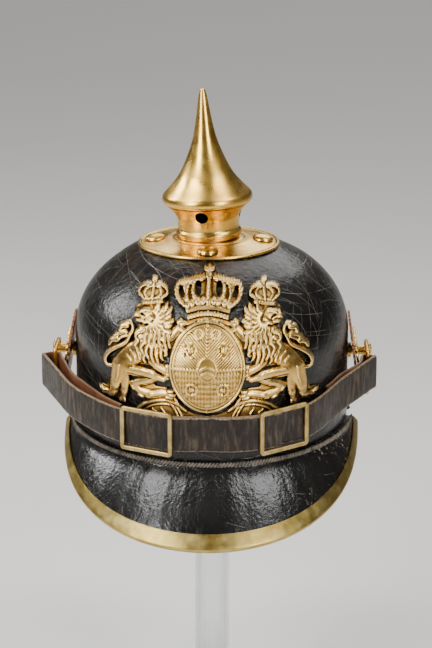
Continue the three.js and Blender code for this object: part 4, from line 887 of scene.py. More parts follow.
neck_out = curve_through([(19.6, -0.75), (20.5, 0.3), (20.9, 1.8), (20.85, 3.1), (20.2, 4.2), (19.6, 5.2),
                          (19.6, 7.6), (20.0, 10.2), (20.6, 12.8), (21.9, 15.5), (24.0, 18.2),
                          (26.4, 20.7)], 5)
neck_in = curve_through([(25.1, 20.7), (20.7, 15.6), (18.5, 9.0), (18.2, -0.75)], 5)
points, faces = lathe(np.vstack([neck_out, neck_in]), 128)
neck = make("vented_neck", leaned(points), faces, spike_brass, "spike_brass", ["spike_neck"], sharp=50)
axis = Vector(spike_at * MM) + Vector((0, 0, RIM * MM))
leaned_frame = Matrix.Translation(axis) @ Matrix.Rotation(-LEAN, 4, "Y")
reach_out = Matrix.Translation((22 * MM, 0, VENT_HEIGHT * MM)) @ Matrix.Rotation(math.pi / 2, 4, "Y")
cutters = []
for n in range(4):
    turn = math.radians(VENT_TURN - 90 + 90 * n)
    drill = bmesh.new()
    bmesh.ops.create_cone(drill, cap_ends=True, segments=40, radius1=NECK_VENT_R * MM,
                          radius2=NECK_VENT_R * MM, depth=DRILL_LONG * MM)
    way = leaned_frame @ Matrix.Rotation(turn, 4, "Z") @ reach_out
    bmesh.ops.transform(drill, matrix=way, verts=drill.verts)
    mesh = bpy.data.meshes.new("drill")
    drill.to_mesh(mesh)
    drill.free()
    tool = bpy.data.objects.new("drill", mesh)
    bpy.context.scene.collection.objects.link(tool)
    cut = neck.modifiers.new("vent", "BOOLEAN")
    cut.object, cut.operation, cut.solver = tool, "DIFFERENCE", "EXACT"
    cutters.append(tool)
clean_body(neck)
for tool in cutters:
    bpy.data.objects.remove(tool)
neck.data.set_sharp_from_angle(angle=math.radians(35))
neck.data.materials.clear()
neck.data.materials.append(spike_brass)
neck.data.materials.append(painted_inner_shade)
# Inward faces below the neck's top take the near-black painted shade
for face in neck.data.polygons:
    out = Vector((face.center.x - axis.x, face.center.y - axis.y, 0))
    inward = face.normal.dot(out) < -0.2 * out.length
    face.material_index = int(inward and face.center.z - axis.z < 20.5 * MM)
print("neck", len(neck.data.polygons), "faces with its vents")

# %% [markdown]
# The tall spike screws on top of the neck. Its outline is a soft flare over a rounded lip, drawn
# through a few points and turned with the neck's small lean. It is hollow, as the spun one is.

# %% Tall spike
SPIKE_FOOT, SPIKE_LONG = 21.2, 73.0
spike_out = curve_through([(26.9, 0), (28.3, 1.0), (28.8, 2.4), (28.75, 4.2), (28.1, 6.0), (26.5, 7.8),
                           (24.2, 10.2), (21.7, 13.0), (19.3, 15.9), (16.5, 20.0), (13.5, 26.0), (11.3, 31.0),
                           (9.4, 36.0), (7.7, 41.0), (6.5, 46.0), (5.5, 51.0), (4.6, 56.0), (3.8, 61.0),
                           (3.0, 66.0), (2.2, 70.0), (1.3, 72.4), (0.0, SPIKE_LONG)], 4)
spike_in = curve_through([(0, 62), (4.2, 50), (9.5, 28), (18, 11), (25.4, 0.6)], 4)
points, faces = lathe(np.vstack([spike_out, spike_in, [(25.6, 0)]]), 128)
make("tall_spike", leaned(points + [0, 0, SPIKE_FOOT]), faces, spike_brass, "spike_brass",
     ["spike_tip"], sharp=50)
print("spike top at", round(RIM + spike_at[2] + SPIKE_FOOT + SPIKE_LONG, 1), "mm")

# %% [markdown]
# Four domed studs bolt the base plate down, at the front, the back and the sides. A half ball would
# look like a bead, so each is a low spun dome on its shank, tipped to the plate's slope. Four alike
# are few enough for a plain loop.

# %% Studs
STUD_R, STUD_DOME, STUD_LIP, SHANK_R, SHANK_LONG, STUD_SLOPE = 6.7, 2.9, 0.3, 1.3, 11, 0.11
stud_base = [(0, -SHANK_LONG), (SHANK_R, -SHANK_LONG), (SHANK_R, 0), (6.6, 0), (6.75, 0.15)]
stud_dome = [(STUD_R * math.cos(t), STUD_LIP + STUD_DOME * math.sin(t))
             for t in np.linspace(0, math.pi / 2, 14)]
for n in range(4):
    turn = n * math.pi / 2
    points, faces = lathe(stud_base + stud_dome, 48)
    place = Matrix.Rotation(turn, 3, "Z") @ Matrix.Rotation(STUD_SLOPE, 3, "Y")
    centre = [STUD_CIRCLE * math.cos(turn) + SEAT_X, STUD_CIRCLE * math.sin(turn),
              SEAT_Z + seat(STUD_CIRCLE) + BASE_SHEET + FIT]
    make(f"domed_stud_{n + 1}", points @ np.array(place).T + centre, faces, spike_brass, "spike_brass",
         [f"base_stud_{n + 1}"], sharp=60)
print("studs on a circle of", 2 * STUD_CIRCLE, "mm")

# %% [markdown]
# The front plate is die-stamped and pierced. Two crowned lions hold an oval shield under a large
# crown. It could be sculpted by hand, but here it is carved in code as a relief: soft forms raise
# the bodies above a thin sheet, finer strokes add faces, locks, ribs and toes, and grooves cut eyes
# and mouths. Points are in hundredths of the plate's half width and height, for the left half
# alone.

# %% Front plate: forms of the relief
PLATE_W, PLATE_FOOT, PLATE_H = 68.0, 24.0, 90.0
SHIELD_W, SHIELD_H, SHIELD_Z = 23.2, 27.0, 63.5
# Outlines, in hundredths of the plate's half width and of its height. The lion stands on the left.
OUTLINES = {
    "body": [(-51, 88), (-52, 91), (-49, 92.5), (-46, 91), (-46, 89), (-39, 90), (-36, 88), (-37, 85),
             (-41, 82), (-37, 81), (-37, 79), (-33, 78), (-33, 75), (-30, 73.5), (-33, 72), (-30, 69),
             (-30, 66), (-31, 62), (-33, 56), (-37, 53), (-40, 48), (-41, 45), (-49, 43), (-55, 44),
             (-67, 42.5), (-71, 40), (-71, 25), (-73, 20), (-74, 15), (-79, 14), (-82, 16), (-88, 16),
             (-96, 17), (-99, 19), (-98, 22), (-91, 21.5), (-90, 26), (-88, 32), (-86, 37), (-81, 44),
             (-73, 48), (-69, 53), (-66, 59), (-66, 63), (-63, 65), (-56, 66), (-54, 67), (-57, 68),
             (-62, 67.5), (-64, 70), (-67, 74), (-64, 77), (-58, 80), (-62, 83), (-63, 86), (-59, 88)],
    "leg": [(-73, 40), (-66, 41), (-51, 41), (-44, 39), (-41, 36), (-37, 36.5), (-38, 34), (-45, 33.5),
            (-48, 32), (-46, 29.5), (-37, 30), (-31, 28), (-27, 24), (-34, 22.5), (-48, 21), (-57, 20),
            (-65, 22), (-69, 25), (-69, 29), (-64, 31), (-60, 33.5), (-68, 34.5), (-72, 35)],
    "tuft": [(-72, 68), (-77, 66.5), (-80, 63), (-82, 60), (-86, 58.5), (-90, 55), (-91, 51), (-87, 50),
             (-83, 53), (-80.5, 57), (-75, 59.5), (-73, 63)],
    "upper_paw": [(-33, 69), (-28, 70.5), (-26, 73.5), (-22, 73.5), (-17, 71), (-20, 64), (-29, 56),
                  (-35, 56)],
    "lower_paw": [(-47, 45), (-40, 46), (-34, 47), (-29, 45), (-30, 40), (-33, 36), (-38.5, 35),
                  (-40, 40), (-46, 41.5)],
    "banner": [(-63, 12), (-57, 17), (-47, 20.5), (-36, 22), (-26, 19.5), (-19, 15.5), (-10, 12),
               (0, 12), (0, 3), (-17, 1), (-34, 0), (-50, 4), (-58, 8)],
    "banner_arm": [(-38, 21.5), (-34, 23), (-30, 25.5), (-26, 22), (-24, 18), (-30, 18)],
    "crown": [(0, 100), (-2, 100), (-2.4, 99), (-5.2, 99), (-5.2, 97.4), (-2.6, 97.2), (-4.8, 95.6),
              (-7, 94.5), (-11, 94.5), (-15, 93.5), (-19, 93.5), (-23, 92), (-26.5, 92), (-29.5, 90),
              (-30.5, 87.5), (-28.5, 84), (-26, 81), (-21, 79), (-18.5, 75), (-18, 70), (0, 70)],
}
TAIL = [(-85, 38), (-91, 37.5), (-93, 41), (-90, 46), (-82, 51), (-74, 55), (-70, 60), (-67.5, 64),
        (-69, 67), (-73, 67)]
# Pierced openings of the crown: across, up, half width, half height, slant
OPENINGS = [(-9.3, 88.6, 2.9, 3.9, -0.1), (-23.8, 86.6, 1.9, 3.3, -0.45)]
# Raised strokes: width at the start and end and height in millimetres, then points in hundredths.
SMOOTH_FORMS = [
    (7.2, 6.2, 2.0, [(-54, 62), (-58, 54), (-66, 50)]),
    (6.2, 6.4, 2.0, [(-66, 50), (-73, 44), (-78, 38)]),
    (5.6, 3.4, 2.3, [(-79, 39), (-82, 31), (-84, 25)]),
    (3.2, 2.4, 2.0, [(-84, 25), (-85, 20), (-88, 18)]),
    (2.2, 1.6, 1.6, [(-86, 18), (-92, 18), (-96, 18.6)]),
    (3.6, 2.6, 1.5, [(-76, 38), (-74, 30), (-75, 22)]),
    (2.4, 1.8, 1.6, [(-75, 22), (-76, 17), (-77, 16)]),
    (3.6, 3.4, 2.3, [(-71, 38.2), (-60, 38.8), (-49, 38)]),
    (3.2, 2.0, 2.2, [(-49, 38), (-44, 36.6), (-39, 35.5)]),
    (2.6, 2.4, 1.8, [(-47, 35.5), (-55, 32.5), (-63, 30.5)]),
    (3.0, 2.6, 2.0, [(-66, 28.5), (-60, 25), (-50, 23.6)]),
    (2.5, 2.4, 2.1, [(-50, 23.8), (-41, 25.5), (-33, 25.6)]),
    (3.0, 2.8, 1.9, [(-49, 47), (-43, 43.5), (-37, 41.5)]),
    (3.2, 2.6, 1.9, [(-36, 62), (-31, 64), (-26, 67.5)]),
    (5.4, 4.2, 2.3, [(-51, 75), (-55, 73.5)]), (3.2, 2.3, 2.5, [(-56, 73.8), (-62, 73.4)]),
    (4.0, 4.0, 1.8, [(-55.6, 84.4), (-45, 85.4)]),
]
LION_STROKES = [
    # head: nose, jaws, brow, cheek, ear
    (1.5, 1.3, 3.2, [(-63.5, 73), (-65.2, 72.2)]), (1.3, 1.0, 2.7, [(-58, 70.2), (-63.6, 69.8)]),
    (1.2, 1.0, 2.4, [(-54, 66.8), (-59.5, 66.2)]),
    (1.1, 0.8, 3.3, [(-53, 76.5), (-57, 76.2), (-61, 74.8)]),
    (1.6, 1.2, 3.1, [(-50.5, 72.2), (-54.5, 70.4)]), (1.1, 0.8, 3.0, [(-46.5, 78), (-44.5, 79.8)]),
    # tail and its tuft
    (1.35, 1.25, 1.8, TAIL), (1.9, 0.8, 2.2, [(-73, 65.5), (-77.5, 64.5), (-80, 61.5)]),
    (1.8, 0.7, 2.0, [(-74, 61.5), (-79, 60.2), (-85, 57)]),
    (1.9, 0.7, 2.2, [(-82, 56.5), (-87, 54.5), (-89.6, 51)]),
    (0.9, 0.7, 2.3, [(-73, 59.6), (-78, 57.6), (-82, 54.5)]),
    # toes
    (1.4, 1.2, 2.1, [(-96, 19), (-98.2, 19.6)]), (1.2, 1.0, 1.9, [(-93, 17.4), (-95.6, 17)]),
    (1.3, 1.1, 1.9, [(-75, 16.6), (-74.6, 15.2)]), (1.2, 1.0, 1.8, [(-78, 16.4), (-78.6, 15)]),
    (1.35, 1.15, 2.6, [(-34, 27.6), (-31, 27.8)]), (1.35, 1.15, 2.6, [(-33, 25.2), (-29.2, 25.2)]),
    (1.3, 1.1, 2.4, [(-36, 23.4), (-32, 23.2)]), (1.3, 1.1, 2.3, [(-66, 26), (-67.6, 27.8)]),
    (1.2, 1.0, 2.2, [(-61, 22.6), (-58, 21.6)]), (1.2, 1.0, 2.2, [(-54, 22.4), (-51, 21.9)]),
    (1.3, 1.1, 2.4, [(-36, 44.6), (-31.6, 44.8)]), (1.3, 1.1, 2.5, [(-35, 42), (-31, 41.8)]),
    (1.3, 1.1, 2.4, [(-35.4, 39.4), (-32, 38.8)]), (1.2, 1.0, 2.2, [(-37, 37.2), (-35, 36.4)]),
    (1.4, 1.2, 2.5, [(-26, 71.4), (-23.6, 72.6)]), (1.4, 1.2, 2.5, [(-23.4, 70.4), (-20, 71.2)]),
    (1.3, 1.1, 2.3, [(-23.4, 67.6), (-20.4, 67)]), (1.2, 1.0, 2.3, [(-39, 36), (-37.4, 35.6)]),
    # muscles and ribs
    (1.2, 0.7, 2.6, [(-66, 54.5), (-62, 51), (-60, 46.5)]),
    (1.1, 0.6, 2.5, [(-69, 51.5), (-65.4, 48.6), (-64, 45)]),
    (1.0, 0.6, 2.5, [(-72, 48.4), (-69, 46), (-68, 43.4)]),
    (1.2, 0.6, 3.0, [(-80, 40), (-80.6, 34), (-82.6, 28)]),
    (0.9, 0.5, 2.9, [(-69, 40), (-60, 40.4), (-52, 39.8)]),
    # small crown: band, arches and finial
    (1.2, 1.2, 2.6, [(-59, 79.4), (-51, 80.4), (-42, 81.6)]),
    (0.8, 0.8, 2.3, [(-58.4, 81.4), (-51, 82.4), (-43, 83.4)]),
    (0.95, 0.85, 2.3, [(-58.4, 81.6), (-63.2, 83.8), (-61.4, 87), (-55.4, 88.8), (-49.6, 89)]),
    (0.8, 0.7, 2.6, [(-55, 82), (-57.8, 84.8), (-55, 87.6), (-50, 88.8)]),
    (0.85, 0.8, 2.9, [(-50.8, 82.4), (-49.4, 88.8)]),
    (0.8, 0.7, 2.6, [(-46.8, 83), (-42.6, 85.4), (-44, 88.2), (-48.6, 89)]),
    (0.95, 0.85, 2.3, [(-43, 83.2), (-37.4, 85), (-37.8, 88), (-43, 89.6), (-48.8, 89.2)]),
    (1.3, 1.3, 2.9, [(-49.3, 89.9), (-49.2, 90.1)]), (0.9, 0.9, 2.7, [(-51, 91.5), (-47.4, 91.5)]),
    # mane down the chest, in hanging locks
    (1.7, 0.6, 3.0, [(-57, 65), (-62.4, 63.4), (-64.6, 60.4), (-62, 58)]),
    (1.5, 0.8, 3.1, [(-60.4, 60.6), (-58, 61.6), (-57, 59.4), (-59.2, 58.4)]),
    (1.6, 0.6, 3.0, [(-53.4, 65), (-56.4, 61), (-55, 57.2)]),
    (1.5, 0.6, 2.8, [(-62.6, 58.4), (-65, 55.4), (-62.4, 53)]),
    (1.6, 0.6, 3.2, [(-56, 59), (-59.4, 55), (-57, 51.2)]),
    (1.6, 0.6, 3.3, [(-50.4, 65), (-52.2, 59.4), (-50, 55)]),
    (1.6, 0.6, 3.2, [(-52.6, 58), (-54.8, 53), (-52, 48.6)]),
    (1.6, 0.6, 3.4, [(-46.6, 65), (-47.6, 59.6), (-45.4, 55)]),
    (1.6, 0.6, 3.2, [(-48.6, 58), (-50, 52), (-47.4, 46.6)]),
    (1.6, 0.6, 3.3, [(-42.6, 65), (-43, 59.6), (-40.8, 55)]),
    (1.6, 0.6, 3.1, [(-44.8, 57), (-45.4, 51.4), (-43, 46.2)]),
    (1.6, 0.6, 3.1, [(-38.6, 65), (-38.2, 59.6), (-36, 55.4)]),
    (1.5, 0.6, 2.9, [(-41, 57), (-41.2, 51.6), (-38.8, 48.6)]),
    (1.4, 0.6, 2.8, [(-35.2, 64), (-34.2, 59.4), (-33, 56.4)]),
    (1.3, 0.9, 2.9, [(-37.4, 55), (-36, 52.6), (-37.6, 51.6)]),
    (1.4, 0.6, 2.6, [(-54.6, 52), (-57, 48.6), (-55, 45.6)]),
]
GROOVES = [(0.75, 0.5, 1.5, [(-59.6, 73.6), (-56.8, 72.6)]),
           (0.9, 0.7, 2.0, [(-62.4, 68), (-58, 67.9), (-53.8, 68.6)]),
           (0.6, 0.5, 0.9, [(-64.4, 71.4), (-63, 71.2)]),
           (0.55, 0.4, 0.9, [(-71, 36), (-60, 35.6), (-50, 35)])]
print("outlines", len(OUTLINES), "strokes", len(SMOOTH_FORMS) + len(LION_STROKES))

# %% [markdown]
# The same few forms make the great crown and the banner: a jewelled band, arches edged with pearls,
# an orb on top, and two scrolls. Pearls and locks follow a rule, so they are set by a loop along a
# path or a fan.

# %% Front plate: crown, mane and banner
def in_mm(point):
    """A point in hundredths of the plate as millimetres."""
    return np.array([point[0] / 100 * PLATE_W, PLATE_FOOT + point[1] / 100 * PLATE_H])

def beads(path, count, radius, height):
    """Round pearls evenly spaced along a smooth path in hundredths."""
    line = curve_through(path, 12)
    run = np.concatenate([[0], np.cumsum(np.linalg.norm(np.diff(line, axis=0), axis=1))])
    stops = [[np.interp(t * run[-1], run, line[:, k]) for k in (0, 1)] for t in np.linspace(0, 1, count)]
    return [(radius, radius, height, [stop, (stop[0] + 0.05, stop[1])]) for stop in stops]

crown_strokes = [
    (1.0, 1.0, 2.6, [(-18, 71), (-9, 72.8), (0, 73.4)]),
    (1.1, 1.1, 2.5, [(-18.6, 77.6), (-9, 79.4), (0, 80)]),
    (1.7, 1.2, 2.4, [(0, 81), (0, 88), (0, 94)]),
    (1.5, 1.2, 2.2, [(-7, 80.6), (-13.4, 86), (-11.6, 92), (-5, 94.4)]),
    (1.3, 1.1, 1.9, [(-14, 79.6), (-21.4, 84.4), (-20.6, 90.4), (-13, 93)]),
    (1.4, 1.2, 2.0, [(-18, 79), (-26.4, 82.8), (-28.6, 87.6), (-25, 90.8), (-19, 92)]),
    (2.0, 2.0, 2.7, [(0, 95.6), (0.05, 95.6)]),
    (0.75, 0.75, 2.6, [(-3.8, 98.2), (0, 98.2)]),
    (0.8, 0.8, 2.8, [(0, 96.8), (0, 99.4)]),
]
crown_strokes += beads([(-17.4, 74.4), (-9, 76.1), (0, 76.7)], 7, 1.15, 3.1)
crown_strokes += beads([(-19, 80.8), (-10, 82.6), (0, 83.2)], 5, 1.7, 2.9)
crown_strokes += beads([(0, 85.6), (0, 93)], 5, 0.95, 3.2)
crown_strokes += beads([(-9.6, 84), (-14.6, 88), (-12, 93.2), (-6, 94.6)], 9, 0.8, 3.1)
crown_strokes += beads([(-21.6, 80.6), (-28.4, 84.6), (-30, 88), (-26.8, 91.6), (-21, 92.6),
                        (-14.6, 93.4), (-8, 94.6)], 16, 0.95, 2.7)
crown_strokes += beads([(-17.4, 82), (-19.6, 86), (-18.6, 90)], 6, 0.75, 2.9)
mane_strokes = []
for n, angle in enumerate(np.radians(np.linspace(40, -112, 12))):
    reach = 12.4 if n % 2 else 11.0
    way, side = np.array([math.cos(angle), math.sin(angle)]), np.array([math.sin(angle), -math.cos(angle)])
    root = in_mm((-49, 72.5)) + way * 5.0
    tip = in_mm((-49, 72.5)) + way * reach
    bend = (root + tip) / 2 + side * 1.3
    mane_strokes.append((1.8, 0.75, 2.9 + 0.2 * (n % 2), [root, bend, tip, tip + side * 1.2 - way * 0.9]))
for n, angle in enumerate(np.radians(np.linspace(58, -132, 10))):
    way, side = np.array([math.cos(angle), math.sin(angle)]), np.array([math.sin(angle), -math.cos(angle)])
    root, tip = in_mm((-50, 72.8)) + way * 3.2, in_mm((-50, 72.8)) + way * 8.0
    mane_strokes.append((1.5, 0.7, 3.5, [root, (root + tip) / 2 + side * 0.9, tip]))
crown_strokes += beads([(-58, 79.6), (-51, 80.6), (-43, 81.8)], 7, 0.75, 3.2)
crown_strokes += beads([(-60.6, 82.6), (-63, 84.8), (-60.4, 87.6), (-55, 89)], 7, 0.7, 2.9)
crown_strokes += beads([(-40.4, 84), (-37, 86), (-38.6, 88.8), (-43.4, 89.8)], 7, 0.7, 2.9)
banner_strokes = [(1.1, 1.1, 1.6, [(-62, 12.4), (-56, 16.8), (-46.6, 20), (-36, 21.2), (-26, 18.8),
                                   (-19, 15)]),
                  (0.7, 0.7, 1.1, [(-59, 10.4), (-52, 15), (-44, 17.6), (-35, 18.4), (-27, 16.2)]),
                  (0.9, 0.9, 1.4, [(-37, 21.4), (-32, 24), (-28.4, 22.6), (-25, 18.6)]),
                  (0.9, 0.6, 1.5, [(-33, 20), (-28, 14), (-24, 7)]),
                  (0.8, 0.6, 1.3, [(-29, 19.4), (-24, 13), (-21, 7)]),
                  (1.0, 1.0, 1.2, [(-56, 7.6), (-40, 3.2), (-24, 2.4), (-8, 3)]),
                  (0.8, 0.5, 1.2, [(-47, 8), (-46, 12), (-49, 14)]),
                  (0.8, 0.5, 1.2, [(-41, 7), (-38, 11), (-41, 15)])]
print("crown", len(crown_strokes), "mane", len(mane_strokes))

# %% [markdown]
# The relief is a height for each point of a fine flat grid. To draw on it, each stroke and outline
# needs to know how far every point lies from it. Distances to a line give round strokes, and signed
# distances to a closed outline tell inside from outside.

# %% Front plate: grid and distances
STEP = 0.42
xs = np.arange(-PLATE_W - 2 * STEP, 0.01, STEP)
xs = xs - xs[-1]
zs = np.arange(PLATE_FOOT - 3, PLATE_FOOT + PLATE_H + 1.5, STEP)
X, Z = np.meshgrid(xs, zs, indexing="ij")

def distance_to(line, X, Z, radii=None):
    """Distance to a line of points, and the width wanted at the nearest place."""
    best, width = np.full(X.shape, 1e9), np.zeros(X.shape)
    run = np.concatenate([[0], np.cumsum(np.linalg.norm(np.diff(line, axis=0), axis=1))])
    for n, (a, b) in enumerate(zip(line, line[1:])):
        d = b - a
        length = max(1e-9, float(d @ d))
        t = np.clip(((X - a[0]) * d[0] + (Z - a[1]) * d[1]) / length, 0, 1)
        gap = np.hypot(X - a[0] - t * d[0], Z - a[1] - t * d[1])
        closer = gap < best
        best = np.where(closer, gap, best)
        if radii:
            share = (run[n] + t * (run[n + 1] - run[n])) / max(1e-9, run[-1])
            width = np.where(closer, radii[0] + (radii[1] - radii[0]) * share, width)
    return best, width

def outline_distance(points, X, Z):
    """Signed distance to a closed outline, negative inside."""
    ring = np.array(points, float)
    for _ in range(2):
        after = np.roll(ring, -1, 0)
        ring = np.stack([ring * 0.75 + after * 0.25, ring * 0.25 + after * 0.75], 1).reshape(-1, 2)
    low, high = ring.min(0) - 3, ring.max(0) + 3
    result = np.full(X.shape, np.inf)
    i = np.where((X[:, 0] > low[0]) & (X[:, 0] < high[0]))[0]
    j = np.where((Z[0] > low[1]) & (Z[0] < high[1]))[0]
    if len(i) == 0 or len(j) == 0:
        return result
    part = np.ix_(i, j)
    x, z = X[part], Z[part]
    closed = np.vstack([ring, ring[:1]])
    gap = distance_to(closed, x, z)[0]
    inside = np.zeros(x.shape, bool)
    for a, b in zip(closed, closed[1:]):
        if a[1] != b[1]:
            crosses = ((a[1] > z) != (b[1] > z)) & (x < (b[0] - a[0]) * (z - a[1]) / (b[1] - a[1]) + a[0])
            inside ^= crosses
    result[part] = np.where(inside, -gap, gap)
    return result

print("grid", X.shape, "points")

# %% [markdown]
# First the sheet's outline: the joined shape of all the outlines, the shield and every stroke. Then
# the strokes raise it. Soft forms melt into each other, so that a thigh flows into a leg, while the
# finer strokes stand sharp on top.

# %% Front plate: outline and strokes
# Distance that counts as off the plate, how firmly soft forms melt together, and a fine stroke's rounding
FAR_OUT = 9.0
MELT = 2.2
ROUND_TOP = 1.25
edge = np.full(X.shape, FAR_OUT)
for name, points in OUTLINES.items():
    points = [in_mm(p) for p in points]
    if name == "crown":
        points = points[:-1] + [p * [-1, 1] for p in points[1:-1]][::-1]
    edge = np.minimum(edge, outline_distance(points, X, Z))
shield_share = np.hypot(X / SHIELD_W, (Z - SHIELD_Z) / SHIELD_H)
edge = np.minimum(edge, (shield_share - 1) * SHIELD_W)

relief = np.zeros(X.shape)

def stroke(row, soft=False, groove=False, hundredths=True):
    """Raises or sinks a rounded stroke; its own width also becomes part of the outline."""
    start, end, height, points = row
    line = np.array([in_mm(p) if hundredths else p for p in points])
    line = curve_through(line, 6) if len(line) > 2 else line
    reach = max(start, end) + 1.5
    low, high = line.min(0) - reach, line.max(0) + reach
    i = np.where((xs > low[0]) & (xs < high[0]))[0]
    j = np.where((zs > low[1]) & (zs < high[1]))[0]
    if len(i) == 0 or len(j) == 0:
        return
    part = np.ix_(i, j)
    gap, width = distance_to(line, X[part], Z[part], (start, end))
    dome = np.sqrt(np.clip(1 - (gap / width) ** 2, 0, 1))
    if groove:
        relief[part] -= height * dome
        return
    if soft:
        melted = np.log(np.exp(MELT * relief[part]) + np.exp(MELT * height * dome) - 1) / MELT
        relief[part] = np.where(dome > 0, melted, relief[part])
    else:
        raised = height - ROUND_TOP + ROUND_TOP * dome
        relief[part] = np.maximum(relief[part], np.where(dome > 0, raised, 0))
    edge[part] = np.minimum(edge[part], gap - width * 0.92)

for row in SMOOTH_FORMS:
    stroke(row, soft=True)
for row in LION_STROKES + crown_strokes + banner_strokes:
    stroke(row)
for row in mane_strokes:
    stroke(row, hundredths=False)
for row in GROOVES:
    stroke(row, groove=True)

print("strokes raise up to", round(float(relief.max()), 2), "mm")

# %% [markdown]
# The shield is a gently domed oval with a rim of two lines. Its field is a plain quartered pattern
# of hatching and weave with small flowers, scrolls and a little oval, all of them formulas of the
# distance from a few centres.

# %% Front plate: shield
inside = shield_share < 1
across, up = X, Z - SHIELD_Z
field = 1.5 + 0.7 * (1 - shield_share ** 2)
field += 0.2 * np.exp(-(across / 0.5) ** 4) + 0.3 * np.exp(-(up / 0.5) ** 4)
hatch = 0.2 * np.sin((across + up) * 2 * np.pi / 1.9)
weave = 0.13 * np.sign(np.sin((across + up * 0.6) * np.pi / 1.9)
                       * np.sin((across - up * 0.6) * np.pi / 1.9))
field += np.where(up > 0, hatch, weave) * (shield_share < 0.86)
petal_x, petal_z = across + 10.5, up - 11.0
petal_r, petal_a = np.hypot(petal_x, petal_z), np.arctan2(petal_z, petal_x)
flower = petal_r < 3.4 + 1.5 * np.cos(5 * petal_a)
field = np.where(flower, 2.35 + 0.5 * np.cos(petal_r * 1.1), field)
field = np.where(petal_r < 1.2, 3.0, field)
scroll = np.abs(np.hypot(across + 5.0, up - 19.5) - 2.4)
field += 0.5 * np.exp(-(scroll / 0.55) ** 2) * (shield_share < 0.86)
leaf = np.abs(np.hypot(across + 9.5, up + 12.5) - 3.4)
field += 0.5 * np.exp(-(leaf / 0.6) ** 2) + 0.45 * (np.hypot(across + 9.5, up + 12.5) < 1.3)
centre_share = np.hypot(across / 5.6, up / 7.0)
field = np.where(centre_share < 1, 2.5 + 0.35 * (1 - centre_share ** 2), field)
field += 0.4 * np.exp(-((centre_share - 1) * 6.5 / 0.6) ** 2)
band = np.abs(np.abs(up + 0.5 * np.abs(across) - 0.6) - 1.6)
field += np.where((centre_share < 0.85) & (band < 0.55), 0.3, 0)
rim_gap = (1 - shield_share) * SHIELD_W
field += 1.25 * np.exp(-((rim_gap - 0.9) / 0.62) ** 2) + 0.55 * np.exp(-((rim_gap - 2.7) / 0.4) ** 2)
relief = np.where(inside, field, relief)
print("shield field from", round(float(field[inside].min()), 2), "mm")

# %% [markdown]
# A punch has cut the crown's gaps clean through. The hollow of each point, for the brown tarnish
# and painted shade, is how far it lies below its blurred surroundings. The outer edge is rounded
# over as stamped sheet is, and the grid's points nearest to the outline are pulled onto it, which
# gives a clean edge without a very fine grid.

# %% Front plate: piercing, hollows and edge
EDGE_ROUND = 0.8
BLUR_STEPS = 10
for a, b, half_wide, half_high, slant in OPENINGS:
    centre = in_mm((a, b))
    rise = Z - centre[1]
    hole = np.hypot((X - centre[0] - slant * rise * PLATE_W / PLATE_H) / (half_wide / 100 * PLATE_W),
                    rise / (half_high / 100 * PLATE_H))
    edge = np.maximum(edge, (1 - hole) * half_wide / 100 * PLATE_W)

blurred = relief.copy()
for _ in range(BLUR_STEPS):
    padded = np.pad(blurred, 1, mode="edge")
    beside = padded[2:, 1:-1] + padded[:-2, 1:-1] + padded[1:-1, 2:] + padded[1:-1, :-2]
    blurred = (beside + 2 * blurred) / 6
# How deep each point lies, for the brown tarnish and painted shade in the plate's hollows
hollow_tarnish_and_shade = np.clip(0.42 + (blurred - relief) * 1.1, 0, 1)
relief += 0.25
relief *= np.sqrt(np.clip(1 - (1 + np.minimum(edge, 0) / EDGE_ROUND).clip(0) ** 2, 0.02, 1))

gx, gz = np.gradient(edge, STEP)
size = np.maximum(np.hypot(gx, gz), 0.3)
near = (edge > 0) & (edge < 0.75 * STEP)
close = (edge <= 0) & (edge > -0.3 * STEP)
move = np.where(near | close, edge / size ** 2, 0)
px, pz = X - move * gx, Z - move * gz
px[-1] = 0
keep = (edge <= 0) | near
cells = keep[:-1, :-1] & keep[1:, :-1] & keep[1:, 1:] & keep[:-1, 1:]
print("cells kept", int(cells.sum()), "of", cells.size)

# %% [markdown]
# The flat half is mirrored and bent to the skull, with each point set off the leather by the
# sheet's thickness and its relief. A back face and walls along the border close it into one solid
# plate.

# %% Front plate: bending and joining
PLATE_GAP, PLATE_SHEET = 0.4, 1.1

def bent(x, z, offset):
    """Bends the flat drawing to the skull at an offset from the leather."""
    wide, long = half_axes(z, offset)
    ride = np.clip((x - crown_shift(z)) / wide, -0.999, 0.999)
    return np.stack([x, -long * np.sqrt(1 - ride ** 2), z], -1)

def plate_mesh():
    """Both halves with front, back and walls, and the stored depth of each point."""
    count = X.size
    index = np.arange(count).reshape(X.shape)
    i, j = np.where(cells)
    quads = np.stack([index[i, j], index[i + 1, j], index[i + 1, j + 1], index[i, j + 1]], -1)
    right = quads[:, ::-1] + count
    front_quads = np.vstack([quads, right])
    both = lambda a, sign=1: np.concatenate([a.ravel(), (sign * a).ravel()])
    mirror = lambda a: np.concatenate([a.ravel(), a.ravel()])
    flat_x, flat_z = both(px, -1), mirror(pz)
    face = bent(flat_x, flat_z, PLATE_GAP + PLATE_SHEET + mirror(relief))
    back = bent(flat_x, flat_z, np.full(flat_x.shape, PLATE_GAP))
    seam = index[-1]
    remap = np.arange(2 * count)
    remap[seam + count] = seam
    front_quads = remap[front_quads]
    back_quads = front_quads[:, ::-1] + 2 * count
    edges = np.sort(np.stack([front_quads, np.roll(front_quads, -1, 1)], -1).reshape(-1, 2), 1)
    ways = np.stack([front_quads, np.roll(front_quads, -1, 1)], -1).reshape(-1, 2)
    _, first, counts = np.unique(edges, axis=0, return_index=True, return_counts=True)
    border = ways[first[counts == 1]]
    walls = np.stack([border[:, 1], border[:, 0], border[:, 0] + 2 * count, border[:, 1] + 2 * count], -1)
    faces = np.vstack([front_quads, back_quads, walls])
    points = np.vstack([face, back])
    used, compact = np.unique(faces, return_inverse=True)
    depth = np.tile(mirror(hollow_tarnish_and_shade), 2)[used]
    return points[used], compact.reshape(faces.shape), depth

